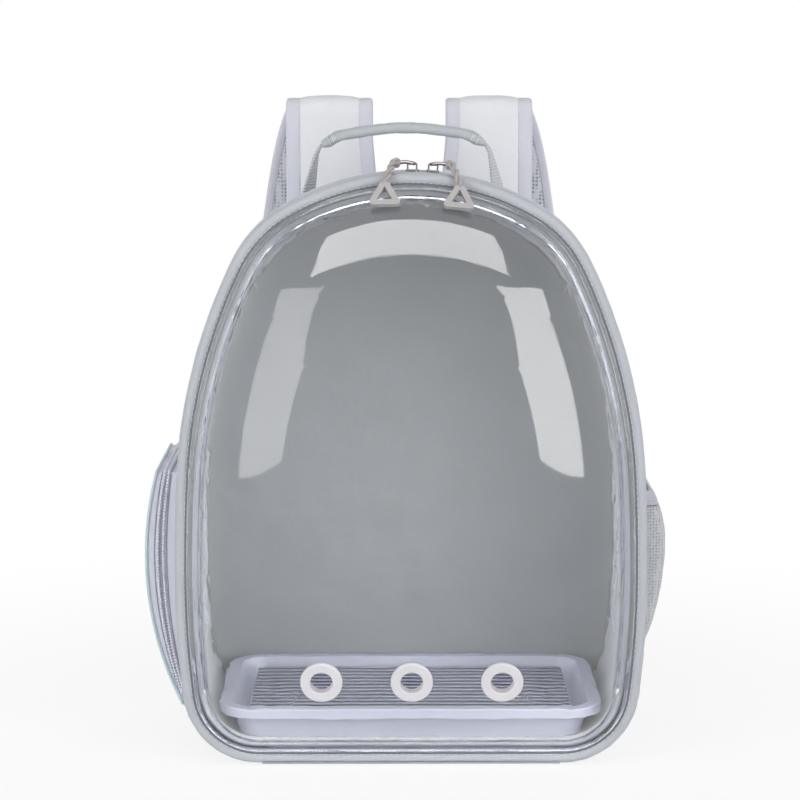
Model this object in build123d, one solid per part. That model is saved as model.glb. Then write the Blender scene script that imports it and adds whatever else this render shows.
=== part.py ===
from build123d import *
import math
import os

# Backpack bird carrier: a padded bag with a clear domed front door that is zipped round the
# top and sides and hinges on its bottom edge, a lift-out droppings tray with a wire grate,
# a zipped side hatch, a mesh pouch, a carry handle and padded shoulder straps.
#
# Millimetres. +Z is up, +X is to the right seen from the front, and the door faces -Y.
# The origin is the centre of the flat base.

# ---- bag outline, seen from the front ---------------------------------------------------------
# Each half is a chain of tangent arcs: base corner, lower side, upper side, flank, shoulder, crown.
bag_half_width = 167.0          # at the widest place
bag_height = 420.0              # crown of the front edge
rear_height = 398.0             # crown of the rear edge: the roof slopes down to the back
widest_height = 130.0           # height of the widest place
corner_height = 48.0            # where base corner and lower side meet, and where the zip ends
corner_lean = 7.0               # degrees that the lower side leans out there
split_height = 205.0            # where side panels meet the crown panel
split_lean = 3.0                # degrees that the upper side leans in there
shoulder_lean = 26.0            # degrees from vertical where flank and shoulder meet
crown_half_angle = 30.0         # the crown arc covers this angle each side of the top
front_crown_radius = 178.0
rear_crown_radius = 165.0

# ---- depth stations ---------------------------------------------------------------------------
gusset_front = -62.0            # front edge of the side fabric, behind the zip
gusset_rear = 88.0              # rear edge of the side fabric
gusset_wall = 5.0               # fabric, foam and lining
hinge_y = -88.0                 # centre plane of the door's bound edge and of the door hinge

# ---- door edge --------------------------------------------------------------------------------
binding_radius = 3.6
binding_inset = 4.5             # centre line of the bound edge, in from the outline
wire_radius = 1.2               # stiffening wire inside the bound edge
wire_clearance = 0.1
hinge_clearance = 0.3           # bound edge in its sleeve
sleeve_wall = 0.6
sleeve_from = -150.0            # degrees from +Y towards +Z where the sleeve's mouth ends
sleeve_to = 65.0
sleeve_end_gap = 2.0            # the sleeve stops this far short of the corners
sleeve_tail = 14.0              # tail of the sleeve sewn under the bottom panel
tail_thickness = 0.8

# ---- zip --------------------------------------------------------------------------------------
zip_centre = -72.0              # plane between the two rows
coil_radius = 0.8
coil_gap = 1.6                  # between the two rows
tape_inset = 1.2
tape_thickness = 1.2
band_inset = 0.6                # fabric band between the bound edge and the zip
band_thickness = 2.8
band_gap = 0.3                  # band behind the bound edge
band_rear = -79.2
zip_end_gap = 0.6               # door zip above the bottom panel's upper end

# ---- dome -------------------------------------------------------------------------------------
dome_wall = 1.5
dome_depth = 57.0               # how far the dome stands out in front of its flange
dome_centre_height = 185.0      # the dome's sections shrink towards this height
dome_edge_inset = 17.0          # foot of the dome, in from the outline
dome_fullness = 4.2             # exponent of the depth curve: higher is boxier
flange_thickness = 2.0
bead_radius = 3.8
bead_inset = 13.3
dome_steps = 9                  # sections up the dome's side, each an equal turn of its depth curve
dome_crown_turns = (85.0, 87.5)  # two more near the flat crown, in degrees

# ---- vent eyelets -----------------------------------------------------------------------------
vent_height = 74.0
vent_spacing = 62.0
vent_count = 3
vent_outer_radius = 14.5
vent_bore_radius = 7.75
vent_barrel_radius = 9.5
vent_hole_clearance = 0.4
vent_rim_thickness = 2.6
vent_rim_round = 1.1
washer_outer_radius = 12.6
washer_clearance = 0.1
washer_thickness = 1.4
washer_gap = 1.3                # behind the dome wall, whose inside is concave
vent_rim_gap = 0.25             # rim off the domed face

# ---- zip sliders and pulls ----------------------------------------------------------------------
left_slider_angle = 0.2         # degrees round the crown from the top, + to the right
right_slider_angle = 4.8
slider_length = 9.0
slider_front = -78.6
slider_rear = -68.6
slider_clearance = 0.3
slider_plate = 1.4
slider_round = 2.2
slider_post_thickness = 0.9
slider_post_length = 3.0
bail_thickness = 1.2
bail_width = 1.6
bail_round = 0.9
bail_pin_radius = 1.0           # round middle of the bail's bar, which the cord turns on
bail_height = 4.9               # centre of the bail's bar above the outline
bail_y = -74.5
cord_radius = 0.8
cord_loop_radius = 2.4          # cord's centre line round the bail's bar
strand_gap = 0.4                # between the cord's two strands at the tab
strand_bend = 2.0
# bends of the two strands: share of the run from bail to tab, and height over the bag's top
strand_outer = [(1.0, -0.5), (0.78, 4.4)]
strand_inner = [(0.93, -2.0), (0.68, 1.8)]
pull_splay = 19.0               # sideways from bail to tab
pull_drop = 7.4                 # tab's upper end below the outline's top
pull_reach = 21.7               # tab's upper end in front of the bail
pull_tilt = 38.0                # degrees that the tab leans out over the dome
tab_length = 18.5
tab_width = 24.0
tab_neck = 5.6
tab_thickness = 3.4
tab_border = 4.2
tab_round = 2.6

# ---- side windows -----------------------------------------------------------------------------
window_centre_y = 4.0
window_width = 92.0
window_low = 66.0
window_high = 182.0
window_round = 16.0
mesh_inset = 1.8
mesh_thickness = 1.2

# ---- left hatch -------------------------------------------------------------------------------
hatch_front = -58.0
hatch_rear = 62.0
hatch_top = 205.0
hatch_top_depth = 16.5
hatch_mid_height = 115.0
hatch_mid_depth = 21.5
hatch_wall = 2.2
hatch_round = 1.6
hatch_zip_gap = 0.8
hatch_zip_share = 0.5           # where the zip runs in the hatch's depth
hatch_hinge_angle = 28.0        # degrees below level, round the base corner
hatch_bead_radius = 1.8
hatch_web_thickness = 1.6
hatch_end_over = 0.2            # ends are cut back this much past their wall
hatch_sleeve_clearance = 0.3
hatch_sleeve_wall = 0.8
hatch_sleeve_from = 120.0       # degrees from outwards towards +Z
hatch_sleeve_to = 330.0
hatch_slider_length = 9.0
hatch_slider_width = 8.0
hatch_slider_thickness = 1.8
hatch_slider_down = 16.0        # slider's centre below the hatch's top
hatch_bar_stand = 2.6           # bar's centre off the slider's plate
hatch_knuckle_radius = 2.1
hatch_knuckle_clearance = 0.25
hatch_pull_hole = 1.6
hatch_knuckle_length = 3.6
hatch_pull_length = 24.0
hatch_pull_width = 7.0
hatch_pull_thickness = 1.4

# ---- right pouch ------------------------------------------------------------------------------
pouch_front = -50.0
pouch_rear = 58.0
pouch_low = 72.0
pouch_high = 190.0
pouch_foot_depth = 1.5
pouch_mid_height = 136.0
pouch_mid_depth = 17.5
pouch_top_depth = 10.5
pouch_wall = 1.2
hem_height = 11.0
hem_extra = 0.7                 # the elastic hem stands proud of the mesh on both sides

# ---- floor ------------------------------------------------------------------------------------
board_half_width = 104.0
board_front = -58.0
board_rear = 80.0
board_thickness = 3.5
board_round = 8.0
pad_half_width = 118.0
pad_thickness = 4.5

# ---- tray and grate ---------------------------------------------------------------------------
tray_bottom_width = 247.0
tray_bottom_depth = 140.0
tray_top_width = 261.0
tray_top_depth = 146.0
tray_height = 24.5
tray_wall = 2.0
tray_corner = 20.0
rim_width = 277.0
rim_depth = 160.0
rim_drop = 7.0
grate_half_length = 115.7
grate_front_gap = 1.2           # bar's turned-down end to the tray's front wall
grate_rear_gap = 13.7
grate_wire_count = 13
grate_wire_radius = 1.1
grate_bar_radius = 1.3
grate_bar_spacing = 100.0
grate_below_rim = 2.4           # top of the long wires under the tray's rim
grate_bar_bend = 3.0

# ---- back -------------------------------------------------------------------------------------
piping_radius = 3.0
back_panel_thickness = 5.0
pad_depth = 8.0
pad_gap = 24.0                  # air channel between the two upper pads
pad_outer = 98.0
pad_low = 158.0
pad_high = 338.0
lumbar_low = 70.0
lumbar_high = 142.0
lumbar_half_width = 96.0
pad_corner = 16.0
yoke_low = 350.0
yoke_high = 386.0
yoke_half_width = 100.0
yoke_over_piping = 0.3          # the yoke's rear face stands this far behind the piping

# ---- shoulder straps --------------------------------------------------------------------------
strap_centre_x = 60.5
strap_width = 66.0
strap_thickness = 9.0
strap_base = 356.0
strap_top = 467.0
strap_fold_radius = 9.0         # centre line of the fold
strap_end_width = 48.0
strap_flare = 60.0              # lower end further out than the upper end
strap_end_stand = 10.0          # lower end further back than the fold
strap_bow = 22.0                # middle further back than the fold
strap_end_z = 128.0
lock_width = 40.0
lock_height = 24.0
lock_thickness = 4.5
lock_slot = 4.5
lock_bar = 4.5
web_width = 25.0
web_thickness = 1.8
web_bend = 16.0
web_foot_out = 22.0             # webbing's foot beyond the flat base
web_foot_high = 76.0
web_foot_low = 50.0
corner_tab_thickness = 3.0
tab_margin = 6.0

# ---- carry handle -----------------------------------------------------------------------------
handle_centre_x = -5.0
handle_half_span = 68.5
handle_y = 10.0
handle_shoulder_rise = 18.0     # shoulders above the bag's top
handle_shoulder_in = 8.0        # shoulders in from the feet
handle_rise = 27.5              # top of the grip's centre line above the bag's top
handle_width = 22.0
handle_web = 3.0
handle_clearance = 0.5
handle_bend = 9.0
grip_thickness = 8.0
grip_width = 24.0
grip_inset = 14.0               # grip's ends in from the shoulders
grip_bend = 120.0               # round the top of the grip
patch_length = 26.0
patch_width = 30.0
patch_thickness = 1.2
patch_gap = 0.1

parts = {}


# ---- outline geometry -------------------------------------------------------------------------
def sind(degrees):
    return math.sin(math.radians(degrees))


def cosd(degrees):
    return math.cos(math.radians(degrees))


def half_outline(apex, crown_radius):
    """Tangent arcs of the right half, base corner first: (x, z, radius, start, end) in degrees."""
    corner_radius = corner_height / (1 - sind(corner_lean))
    lower_radius = (widest_height - corner_height) / sind(corner_lean)
    corner_x = bag_half_width - lower_radius * (1 - cosd(corner_lean)) - corner_radius * cosd(corner_lean)
    upper_radius = (split_height - widest_height) / sind(split_lean)
    split_x = bag_half_width - upper_radius * (1 - cosd(split_lean))
    # flank and shoulder radii close the chain between the split and the crown arc
    crown_lean = 90 - crown_half_angle
    flank_x = cosd(split_lean) - cosd(shoulder_lean)
    flank_z = sind(shoulder_lean) - sind(split_lean)
    round_x = cosd(shoulder_lean) - cosd(crown_lean)
    round_z = sind(crown_lean) - sind(shoulder_lean)
    run_x = split_x - crown_radius * sind(crown_half_angle)
    run_z = apex - split_height - crown_radius * (1 - cosd(crown_half_angle))
    determinant = flank_x * round_z - round_x * flank_z
    flank_radius = (run_x * round_z - round_x * run_z) / determinant
    round_radius = (flank_x * run_z - run_x * flank_z) / determinant
    flank_cx = split_x - flank_radius * cosd(split_lean)
    flank_cz = split_height - flank_radius * sind(split_lean)
    round_cx = flank_cx + (flank_radius - round_radius) * cosd(shoulder_lean)
    round_cz = flank_cz + (flank_radius - round_radius) * sind(shoulder_lean)
    return [
        (corner_x, corner_radius, corner_radius, -90, -corner_lean),
        (bag_half_width - lower_radius, widest_height, lower_radius, -corner_lean, 0),
        (bag_half_width - upper_radius, widest_height, upper_radius, 0, split_lean),
        (flank_cx, flank_cz, flank_radius, split_lean, shoulder_lean),
        (round_cx, round_cz, round_radius, shoulder_lean, crown_lean),
        (0, apex - crown_radius, crown_radius, crown_lean, 90),
    ]


front_arcs = half_outline(bag_height, front_crown_radius)
rear_arcs = half_outline(rear_height, rear_crown_radius)
corner_x, corner_z, corner_radius = front_arcs[0][:3]
crown_centre = bag_height - front_crown_radius


def arc_point(arc, inset, angle, y, side=1):
    x, z, radius = arc[:3]
    return (side * (x + (radius - inset) * cosd(angle)), y, z + (radius - inset) * sind(angle))


def arc_edge(arc, inset, y, start, end, side=1):
    middle = (start + end) / 2
    return ThreePointArc(*[arc_point(arc, inset, a, y, side) for a in (start, middle, end)])


def arch_edges(arcs, inset, y):
    """Edges up the right side, over the crown and down the left side."""
    right = [arc_edge(a, inset, y, a[3], a[4]) for a in arcs[:-1]]
    left = [arc_edge(a, inset, y, a[4], a[3], side=-1) for a in reversed(arcs[:-1])]
    crown = arcs[-1]
    top = arc_edge(crown, inset, y, crown[3], 180 - crown[3])
    return right + [top] + left


def outline_wire(arcs, inset, y):
    """Closed outline, offset inwards, starting at the middle of the flat base."""
    flat = arcs[0][0]
    base_right = Line((0, y, inset), (flat, y, inset))
    base_left = Line((-flat, y, inset), (0, y, inset))
    return Wire([base_right] + arch_edges(arcs, inset, y) + [base_left])


def scaled_arcs(arcs, factor, height):
    return [(x * factor, height + (z - height) * factor, r * factor, a0, a1) for x, z, r, a0, a1 in arcs]


def inset_arcs(arcs, inset):
    return [(x, z, r - inset, a0, a1) for x, z, r, a0, a1 in arcs]


def blended_arcs(y):
    """Arcs of the fabric shell at a depth between its front and rear edges."""
    t = (y - gusset_front) / (gusset_rear - gusset_front)
    return [tuple(f + (r - f) * t for f, r in zip(fa, ra)) for fa, ra in zip(front_arcs, rear_arcs)]


def crown_z(x, y):
    centre, radius = blended_arcs(y)[-1][1:3]
    return centre + math.sqrt(radius**2 - x**2)


def prism(wire, length):
    """Solid from a closed wire in an XZ plane, length along +Y."""
    return Solid.extrude(Face(wire), Vector(0, length, 0))


def outline_block(arcs, inset, y_from, y_to):
    return prism(outline_wire(arcs, inset, y_from), y_to - y_from)


def outline_ring(arcs, outer_inset, inner_inset, y_from, y_to):
    return outline_block(arcs, outer_inset, y_from, y_to) - outline_block(arcs, inner_inset, y_from, y_to)


def shell_block(inset):
    """Tapering block from the front outline to the rear outline."""
    front = outline_wire(front_arcs, inset, gusset_front)
    rear = outline_wire(rear_arcs, inset, gusset_rear)
    return Solid.make_loft([front, rear], ruled=True)


def slab(x_from, x_to, y_from, y_to, z_from, z_to):
    size = (x_to - x_from, y_to - y_from, z_to - z_from)
    centre = ((x_from + x_to) / 2, (y_from + y_to) / 2, (z_from + z_to) / 2)
    return Pos(*centre) * Box(*size)


far = 2 * bag_height            # reaches past everything


def above(z):
    return slab(-far, far, -far, far, z, z + 2 * far)


def below(z):
    return slab(-far, far, -far, far, z - 2 * far, z)


def rod(path, radius, bore=0.0):
    """Round bar or tube along a path."""
    start = path @ 0
    section = Plane(origin=start, z_dir=path % 0) * Circle(radius)
    if bore:
        section -= Plane(origin=start, z_dir=path % 0) * Circle(bore)
    return sweep(section, path=path)


def along_crown(shape, angle):
    """Turn a shape made at the top of the crown round the crown's centre."""
    return shape.rotate(Axis((0, 0, crown_centre), (0, 1, 0)), angle)


def mirror_x(shape):
    return mirror(shape, about=Plane.YZ)


# ---- fabric shell -----------------------------------------------------------------------------
shell = shell_block(0) - shell_block(gusset_wall)
sleeve_outer_radius = binding_radius + hinge_clearance + sleeve_wall
hinge_z = sleeve_outer_radius
panel_front = hinge_y + sleeve_outer_radius


def window_block(side):
    """Rounded window through a side wall."""
    height = window_high - window_low
    face = Plane.YZ * Pos(window_centre_y, window_low + height / 2) * RectangleRounded(
        window_width, height, window_round
    )
    return extrude(face, amount=side * 2 * bag_half_width)


side_walls = shell & slab(-far, far, -far, far, corner_height, split_height)
left_window = window_block(-1)
right_window = window_block(1)
parts["gusset_crown"] = shell & above(split_height)
parts["gusset_left"] = (side_walls & slab(-far, 0, -far, far, 0, far)) - left_window
parts["gusset_right"] = (side_walls & slab(0, far, -far, far, 0, far)) - right_window

window_sheet = outline_ring(front_arcs, mesh_inset, mesh_inset + mesh_thickness, gusset_front, gusset_rear)
parts["left_window_mesh"] = window_sheet & left_window
parts["right_window_mesh"] = window_sheet & right_window


# ---- hinge sleeve and bottom panel ------------------------------------------------------------
def hinge_sleeve():
    """Split fabric tube that holds the door's bound edge, with its tail under the bottom panel."""
    half_length = corner_x - sleeve_end_gap
    inner_radius = binding_radius + hinge_clearance
    plane = Plane(origin=(-half_length, hinge_y, hinge_z), x_dir=(0, 1, 0), z_dir=(1, 0, 0))
    ring = Circle(sleeve_outer_radius) - Circle(inner_radius)
    reach = 3 * sleeve_outer_radius
    mouth_angles = (sleeve_to, (sleeve_to + sleeve_from + 360) / 2, sleeve_from + 360)
    mouth_points = [(0, 0)] + [(reach * cosd(a), reach * sind(a)) for a in mouth_angles]
    mouth = make_face(Polyline(*mouth_points, close=True))
    tube = extrude(plane * (ring - mouth), amount=2 * half_length)
    tail = slab(-half_length, half_length, hinge_y, panel_front + sleeve_tail, 0, tail_thickness)
    bore = extrude(plane * Circle(inner_radius), amount=2 * half_length)
    return tube + (tail - bore)


parts["hinge_sleeve"] = hinge_sleeve()
front_lip = outline_ring(front_arcs, 0, gusset_wall, panel_front, gusset_front) & below(corner_height)
tail_recess = slab(
    -corner_x + sleeve_end_gap, corner_x - sleeve_end_gap,
    panel_front, panel_front + sleeve_tail, 0, tail_thickness,
)
parts["bottom_panel"] = (shell & below(corner_height)) + front_lip - tail_recess

# ---- floor ------------------------------------------------------------------------------------
board_top = gusset_wall + board_thickness
floor_top = board_top + pad_thickness


def floor_sheet(half_width, z_from, z_to):
    depth = board_rear - board_front
    outline = RectangleRounded(2 * half_width, depth, board_round)
    return extrude(Pos(0, (board_front + board_rear) / 2, z_from) * outline, amount=z_to - z_from)


parts["base_board"] = floor_sheet(board_half_width, gusset_wall, board_top)
parts["floor_pad"] = floor_sheet(pad_half_width, board_top, floor_top)

# ---- zip --------------------------------------------------------------------------------------
coil_inset = tape_inset + tape_thickness / 2
door_coil_y = zip_centre - coil_gap / 2 - coil_radius
body_coil_y = zip_centre + coil_gap / 2 + coil_radius


def zip_coil(y, z_from):
    """Half of the zip's teeth as a plain rod round the arch, from the given height up."""
    x, z, radius, _, end = front_arcs[1]
    start = math.degrees(math.asin((z_from - z) / (radius - coil_inset)))
    arcs = [(x, z, radius, start, end)] + front_arcs[2:]
    return rod(Wire(arch_edges(arcs, coil_inset, y)), coil_radius)


def zip_tape(inset, thickness, y_from, y_to, z_from):
    return outline_ring(front_arcs, inset, inset + thickness, y_from, y_to) & above(z_from)


door_zip_low = corner_height + zip_end_gap
coil_seat_body = body_coil_y + coil_radius
coil_seat_door = door_coil_y - coil_radius
parts["body_zip_coil"] = zip_coil(body_coil_y, corner_height)
parts["body_zip_tape"] = zip_tape(tape_inset, tape_thickness, coil_seat_body, gusset_front, corner_height)
parts["door_zip_coil"] = zip_coil(door_coil_y, door_zip_low)
parts["door_zip_tape"] = zip_tape(tape_inset, tape_thickness, band_rear, coil_seat_door, door_zip_low)

# ---- door edge --------------------------------------------------------------------------------
binding_path = outline_wire(front_arcs, binding_inset, hinge_y)
parts["door_binding"] = rod(binding_path, binding_radius, bore=wire_radius + wire_clearance)
parts["door_wire"] = rod(binding_path, wire_radius)
door_band = zip_tape(band_inset, band_thickness, hinge_y, band_rear, door_zip_low)
parts["door_band"] = door_band - rod(binding_path, binding_radius + band_gap)


# ---- dome -------------------------------------------------------------------------------------
flange_rear = hinge_y + flange_thickness / 2
flange_front = hinge_y - flange_thickness / 2
vent_scale = (dome_centre_height - vent_height) / (dome_centre_height - dome_edge_inset)


def dome_block(inset, depth):
    """Solid under a dome: the edge outline shrinks and moves forward along the depth curve."""
    base = inset_arcs(front_arcs, inset)
    turns = [90.0 * step / dome_steps for step in range(dome_steps)] + list(dome_crown_turns)
    sections = []
    for turn in turns:
        scale = cosd(turn) ** (2 / dome_fullness)
        arcs = scaled_arcs(base, scale, dome_centre_height)
        y = flange_rear - depth * sind(turn)
        half_flat = arcs[0][0]
        base_z = arcs[0][1] - arcs[0][2]
        right = Line((0, y, base_z), (half_flat, y, base_z))
        left = Line((-half_flat, y, base_z), (0, y, base_z))
        sections.append(Wire([right] + arch_edges(arcs, 0, y) + [left]))
    return Solid.make_loft(sections)


def vent_plane(column):
    """Plane on the dome's outer face at a vent, looking out of the dome."""
    run = dome_centre_height - dome_edge_inset
    rise = full_depth * math.sqrt(1 - vent_scale**dome_fullness)
    slope = full_depth**2 * dome_fullness * vent_scale ** (dome_fullness - 1) / (2 * rise * run)
    normal = Vector(0, -1, -slope).normalized()
    x = (column - (vent_count - 1) / 2) * vent_spacing
    return Plane(origin=(x, flange_rear - rise, vent_height), x_dir=(1, 0, 0), z_dir=normal)


full_depth = dome_depth + flange_thickness
vent_planes = [vent_plane(column) for column in range(vent_count)]
dome_hollow = dome_block(dome_edge_inset + dome_wall, full_depth - dome_wall)
dome_shell = dome_block(dome_edge_inset, full_depth) - dome_hollow
flange = outline_ring(
    front_arcs, binding_inset + binding_radius, dome_edge_inset + dome_wall / 2, flange_front, flange_rear
)
flange -= dome_hollow
bead = rod(outline_wire(front_arcs, bead_inset, flange_front), bead_radius)
dome = dome_shell + flange + bead
for plane in vent_planes:
    dome -= plane * Cylinder(vent_barrel_radius + vent_hole_clearance, 8 * dome_wall)
parts["dome"] = dome


# ---- vent eyelets -----------------------------------------------------------------------------
def vent_ring():
    """Eyelet with a rounded rim outside and a barrel that passes through the wall."""
    rim = Cylinder(
        vent_outer_radius, vent_rim_thickness, align=(Align.CENTER, Align.CENTER, Align.MIN)
    )
    barrel_length = vent_rim_gap + dome_wall + washer_gap + washer_thickness
    barrel = Cylinder(vent_barrel_radius, barrel_length, align=(Align.CENTER, Align.CENTER, Align.MAX))
    bore = Cylinder(vent_bore_radius, 4 * (vent_rim_thickness + barrel_length))
    ring = rim + barrel - bore
    outer_edges = ring.edges().filter_by(GeomType.CIRCLE).filter_by(
        lambda e: abs(e.center().Z - vent_rim_thickness) < 0.01
    )
    return Pos(0, 0, vent_rim_gap) * fillet(outer_edges, vent_rim_round)


def vent_washer():
    disc = Cylinder(washer_outer_radius, washer_thickness, align=(Align.CENTER, Align.CENTER, Align.MAX))
    hole = Cylinder(vent_barrel_radius + washer_clearance, 4 * washer_thickness)
    return Pos(0, 0, -dome_wall - washer_gap) * (disc - hole)


for label, plane in zip(("left", "middle", "right"), vent_planes):
    parts["vent_ring_" + label] = plane * vent_ring()
    parts["vent_washer_" + label] = plane * vent_washer()


# ---- zip sliders and pulls --------------------------------------------------------------------
coil_z = bag_height - coil_inset
bail_z = bag_height + bail_height


def bail_arch(plane, span, bar_height):
    """Small bridge that stands on a slider: its bar's centre is at bar_height over the plane."""
    height = bar_height + bail_thickness / 2
    outer = Pos(0, height / 2) * Rectangle(span, height)
    outer = fillet(outer.vertices().group_by(Axis.Y)[-1], bail_round + bail_thickness / 2)
    inner_height = height - bail_thickness
    inner = Pos(0, inner_height / 2) * Rectangle(span - 2 * bail_thickness, inner_height)
    return extrude(plane * (outer - inner), amount=bail_width / 2, both=True)


def slider():
    """Slider at the top of the crown: two plates joined between the rows, and a bail for the pull."""
    half = slider_length / 2
    top_under = coil_z + coil_radius + slider_clearance
    low_over = coil_z - coil_radius - slider_clearance
    top = slab(-half, half, slider_front, slider_rear, top_under, top_under + slider_plate)
    low = slab(-half, half, slider_front, slider_rear, low_over - slider_plate, low_over)
    top = fillet(top.edges().filter_by(Axis.Z), slider_round)
    low = fillet(low.edges().filter_by(Axis.Z), slider_round)
    half_post = slider_post_thickness / 2
    post = slab(
        -slider_post_length / 2, slider_post_length / 2, zip_centre - half_post, zip_centre + half_post,
        low_over, top_under,
    )
    plane = Plane(origin=(0, bail_y, top_under + slider_plate / 2), x_dir=(1, 0, 0), z_dir=(0, -1, 0))
    span = slider_length - bail_width
    bail = bail_arch(plane, span, bail_z - top_under - slider_plate / 2)
    pin_length = span - 2 * bail_round - bail_thickness
    pin = Pos(0, bail_y, bail_z) * Rot(0, 90, 0) * Cylinder(bail_pin_radius, pin_length)
    return top + low + post + bail + pin


def pull_points(side, rows):
    """Points of one cord strand: share of the run from bail to tab, and height over the bag's top."""
    return [
        Vector(side * pull_splay * share, bail_y - pull_reach * share, bag_height + height)
        for share, height in rows
    ]


def pull_loop(side):
    """Cord from the tab up over the door's edge, round the bail's bar and back to the tab."""
    half = cord_radius + strand_gap / 2
    loop = cord_loop_radius
    outer_rows = [(1.0 + half / pull_reach, -pull_drop)] + strand_outer + [(0, bail_height + loop)]
    inner_rows = [(1.0 - half / pull_reach, -pull_drop)] + strand_inner + [(0, bail_height - loop)]
    outer = FilletPolyline(*pull_points(side, outer_rows), radius=strand_bend)
    inner = FilletPolyline(*pull_points(side, inner_rows), radius=strand_bend)
    run = Vector(side * pull_splay, -pull_reach, 0).normalized()
    bar = Vector(0, bail_y, bail_z)
    turn = ThreePointArc(bar + Vector(0, 0, loop), bar - run * loop, bar - Vector(0, 0, loop))
    return rod(Wire(outer.edges() + [turn] + inner.edges()), cord_radius)


def pull_tab(side):
    """Moulded triangular ring, hung from its narrow end and leaning out over the dome."""
    origin = (side * pull_splay, bail_y - pull_reach, bag_height - pull_drop)
    plane = Plane(origin=origin, x_dir=(1, 0, 0), z_dir=(0, -cosd(pull_tilt), sind(pull_tilt)))
    half_neck = tab_neck / 2
    half_width = tab_width / 2
    corners = [(-half_neck, 0), (half_neck, 0), (half_width, -tab_length), (-half_width, -tab_length)]
    outer = make_face(Polyline(*corners, close=True))
    outer = fillet(outer.vertices().sort_by(Axis.Y)[:2], tab_round)
    # the hole keeps an even border on all three sides
    slope = math.atan2(half_width - half_neck, tab_length)
    low = -tab_length + tab_border
    half_low = half_neck + (half_width - half_neck) * -low / tab_length - tab_border / math.cos(slope)
    peak = low + half_low / math.tan(slope)
    hole = make_face(Polyline((-half_low, low), (half_low, low), (0, peak), close=True))
    ring = extrude(plane * (outer - hole), amount=tab_thickness / 2, both=True)
    return ring


for label, side, angle in (("left", -1, left_slider_angle), ("right", 1, right_slider_angle)):
    parts["slider_" + label] = along_crown(slider(), angle)
    parts["pull_tab_" + label] = along_crown(pull_tab(side), angle)
    parts["pull_loop_" + label] = along_crown(pull_loop(side) - pull_tab(side), angle)


# ---- bulging side pieces ----------------------------------------------------------------------
def side_x(z):
    """Outline's half width at a height on the sides."""
    for x, centre, radius, start, end in front_arcs:
        low, high = centre + radius * sind(start), centre + radius * sind(end)
        if low <= z <= high:
            return x + math.sqrt(radius**2 - (z - centre) ** 2)
    return 0.0


def bulge_block(curve, y_from, y_to, round_radius=0.0):
    """Block between the right-hand side wall and a curve in the XZ plane, from its low to high end."""
    low, high = curve @ 0, curve @ 1
    inside = corner_x
    edges = [
        curve,
        Line(high, (inside, 0, high.Z)),
        Line((inside, 0, high.Z), (inside, 0, low.Z)),
        Line((inside, 0, low.Z), low),
    ]
    face = Face(Wire([edge.moved(Location((0, y_from, 0))) for edge in edges]))
    block = Solid.extrude(face, Vector(0, y_to - y_from, 0))
    if round_radius:
        rims = [e for e in block.edges() if e.geom_type == GeomType.CIRCLE]
        block = fillet(rims, round_radius)
    return block - outline_block(front_arcs, 0, y_from - 1, y_to + 1)


# ---- left hatch -------------------------------------------------------------------------------
# Made on the right-hand side and mirrored to the left.
hatch_sleeve_radius = hatch_bead_radius + hatch_sleeve_clearance + hatch_sleeve_wall
hatch_axis_x = corner_x + (corner_radius + hatch_sleeve_radius) * cosd(hatch_hinge_angle)
hatch_axis_z = corner_z - (corner_radius + hatch_sleeve_radius) * sind(hatch_hinge_angle)


def hatch_curve(share, wall=0.0):
    """Arc up the hatch at a share of its depth, reduced by a wall."""
    low_x = hatch_axis_x + (2 * share - 1) * hatch_bead_radius
    low = (low_x - wall, 0, hatch_axis_z + wall)
    middle = (side_x(hatch_mid_height) + hatch_mid_depth * share - wall, 0, hatch_mid_height)
    high = (side_x(hatch_top) + hatch_top_depth * share - wall, 0, hatch_top - wall)
    return ThreePointArc(low, middle, high)


def beside(curve, offset):
    """Same arc with its radius changed."""
    middle = curve.arc_center
    stretch = (curve.radius + offset) / curve.radius
    points = [middle + (curve @ t - middle) * stretch for t in (0, 0.5, 1)]
    return ThreePointArc(*points)


zip_curve = hatch_curve(hatch_zip_share)
hatch_zip_centre = zip_curve.arc_center
hatch_zip_radius = zip_curve.radius
hatch_outer = bulge_block(hatch_curve(1.0), hatch_front, hatch_rear, hatch_round)
hatch_inner = bulge_block(hatch_curve(1.0, hatch_wall), hatch_front + hatch_wall, hatch_rear - hatch_wall)
hatch_hollow = hatch_outer - hatch_inner
zip_inner_side = bulge_block(beside(zip_curve, -hatch_zip_gap / 2), hatch_front - 1, hatch_rear + 1)
zip_outer_side = bulge_block(beside(zip_curve, hatch_zip_gap / 2), hatch_front - 1, hatch_rear + 1)
bead_line = Line((hatch_axis_x, hatch_front, hatch_axis_z), (hatch_axis_x, hatch_rear, hatch_axis_z))
sleeve_space = rod(Wire([bead_line]), hatch_sleeve_radius + hatch_sleeve_clearance)
hatch_bead = rod(Wire([bead_line]), hatch_bead_radius)


def hatch_sleeve():
    """Split sleeve on the side wall that holds the cover's lower bead."""
    plane = Plane(origin=(hatch_axis_x, hatch_front, hatch_axis_z), x_dir=(1, 0, 0), z_dir=(0, -1, 0))
    reach = 4 * hatch_sleeve_radius
    step = (hatch_sleeve_to - hatch_sleeve_from) / 4
    angles = [hatch_sleeve_from + step * index for index in range(5)]
    sector = make_face(Polyline((0, 0), *[(reach * cosd(a), reach * sind(a)) for a in angles], close=True))
    ring = (Circle(hatch_sleeve_radius) - Circle(hatch_bead_radius + hatch_sleeve_clearance)) & sector
    return extrude(plane * ring, amount=hatch_front - hatch_rear)


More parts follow.
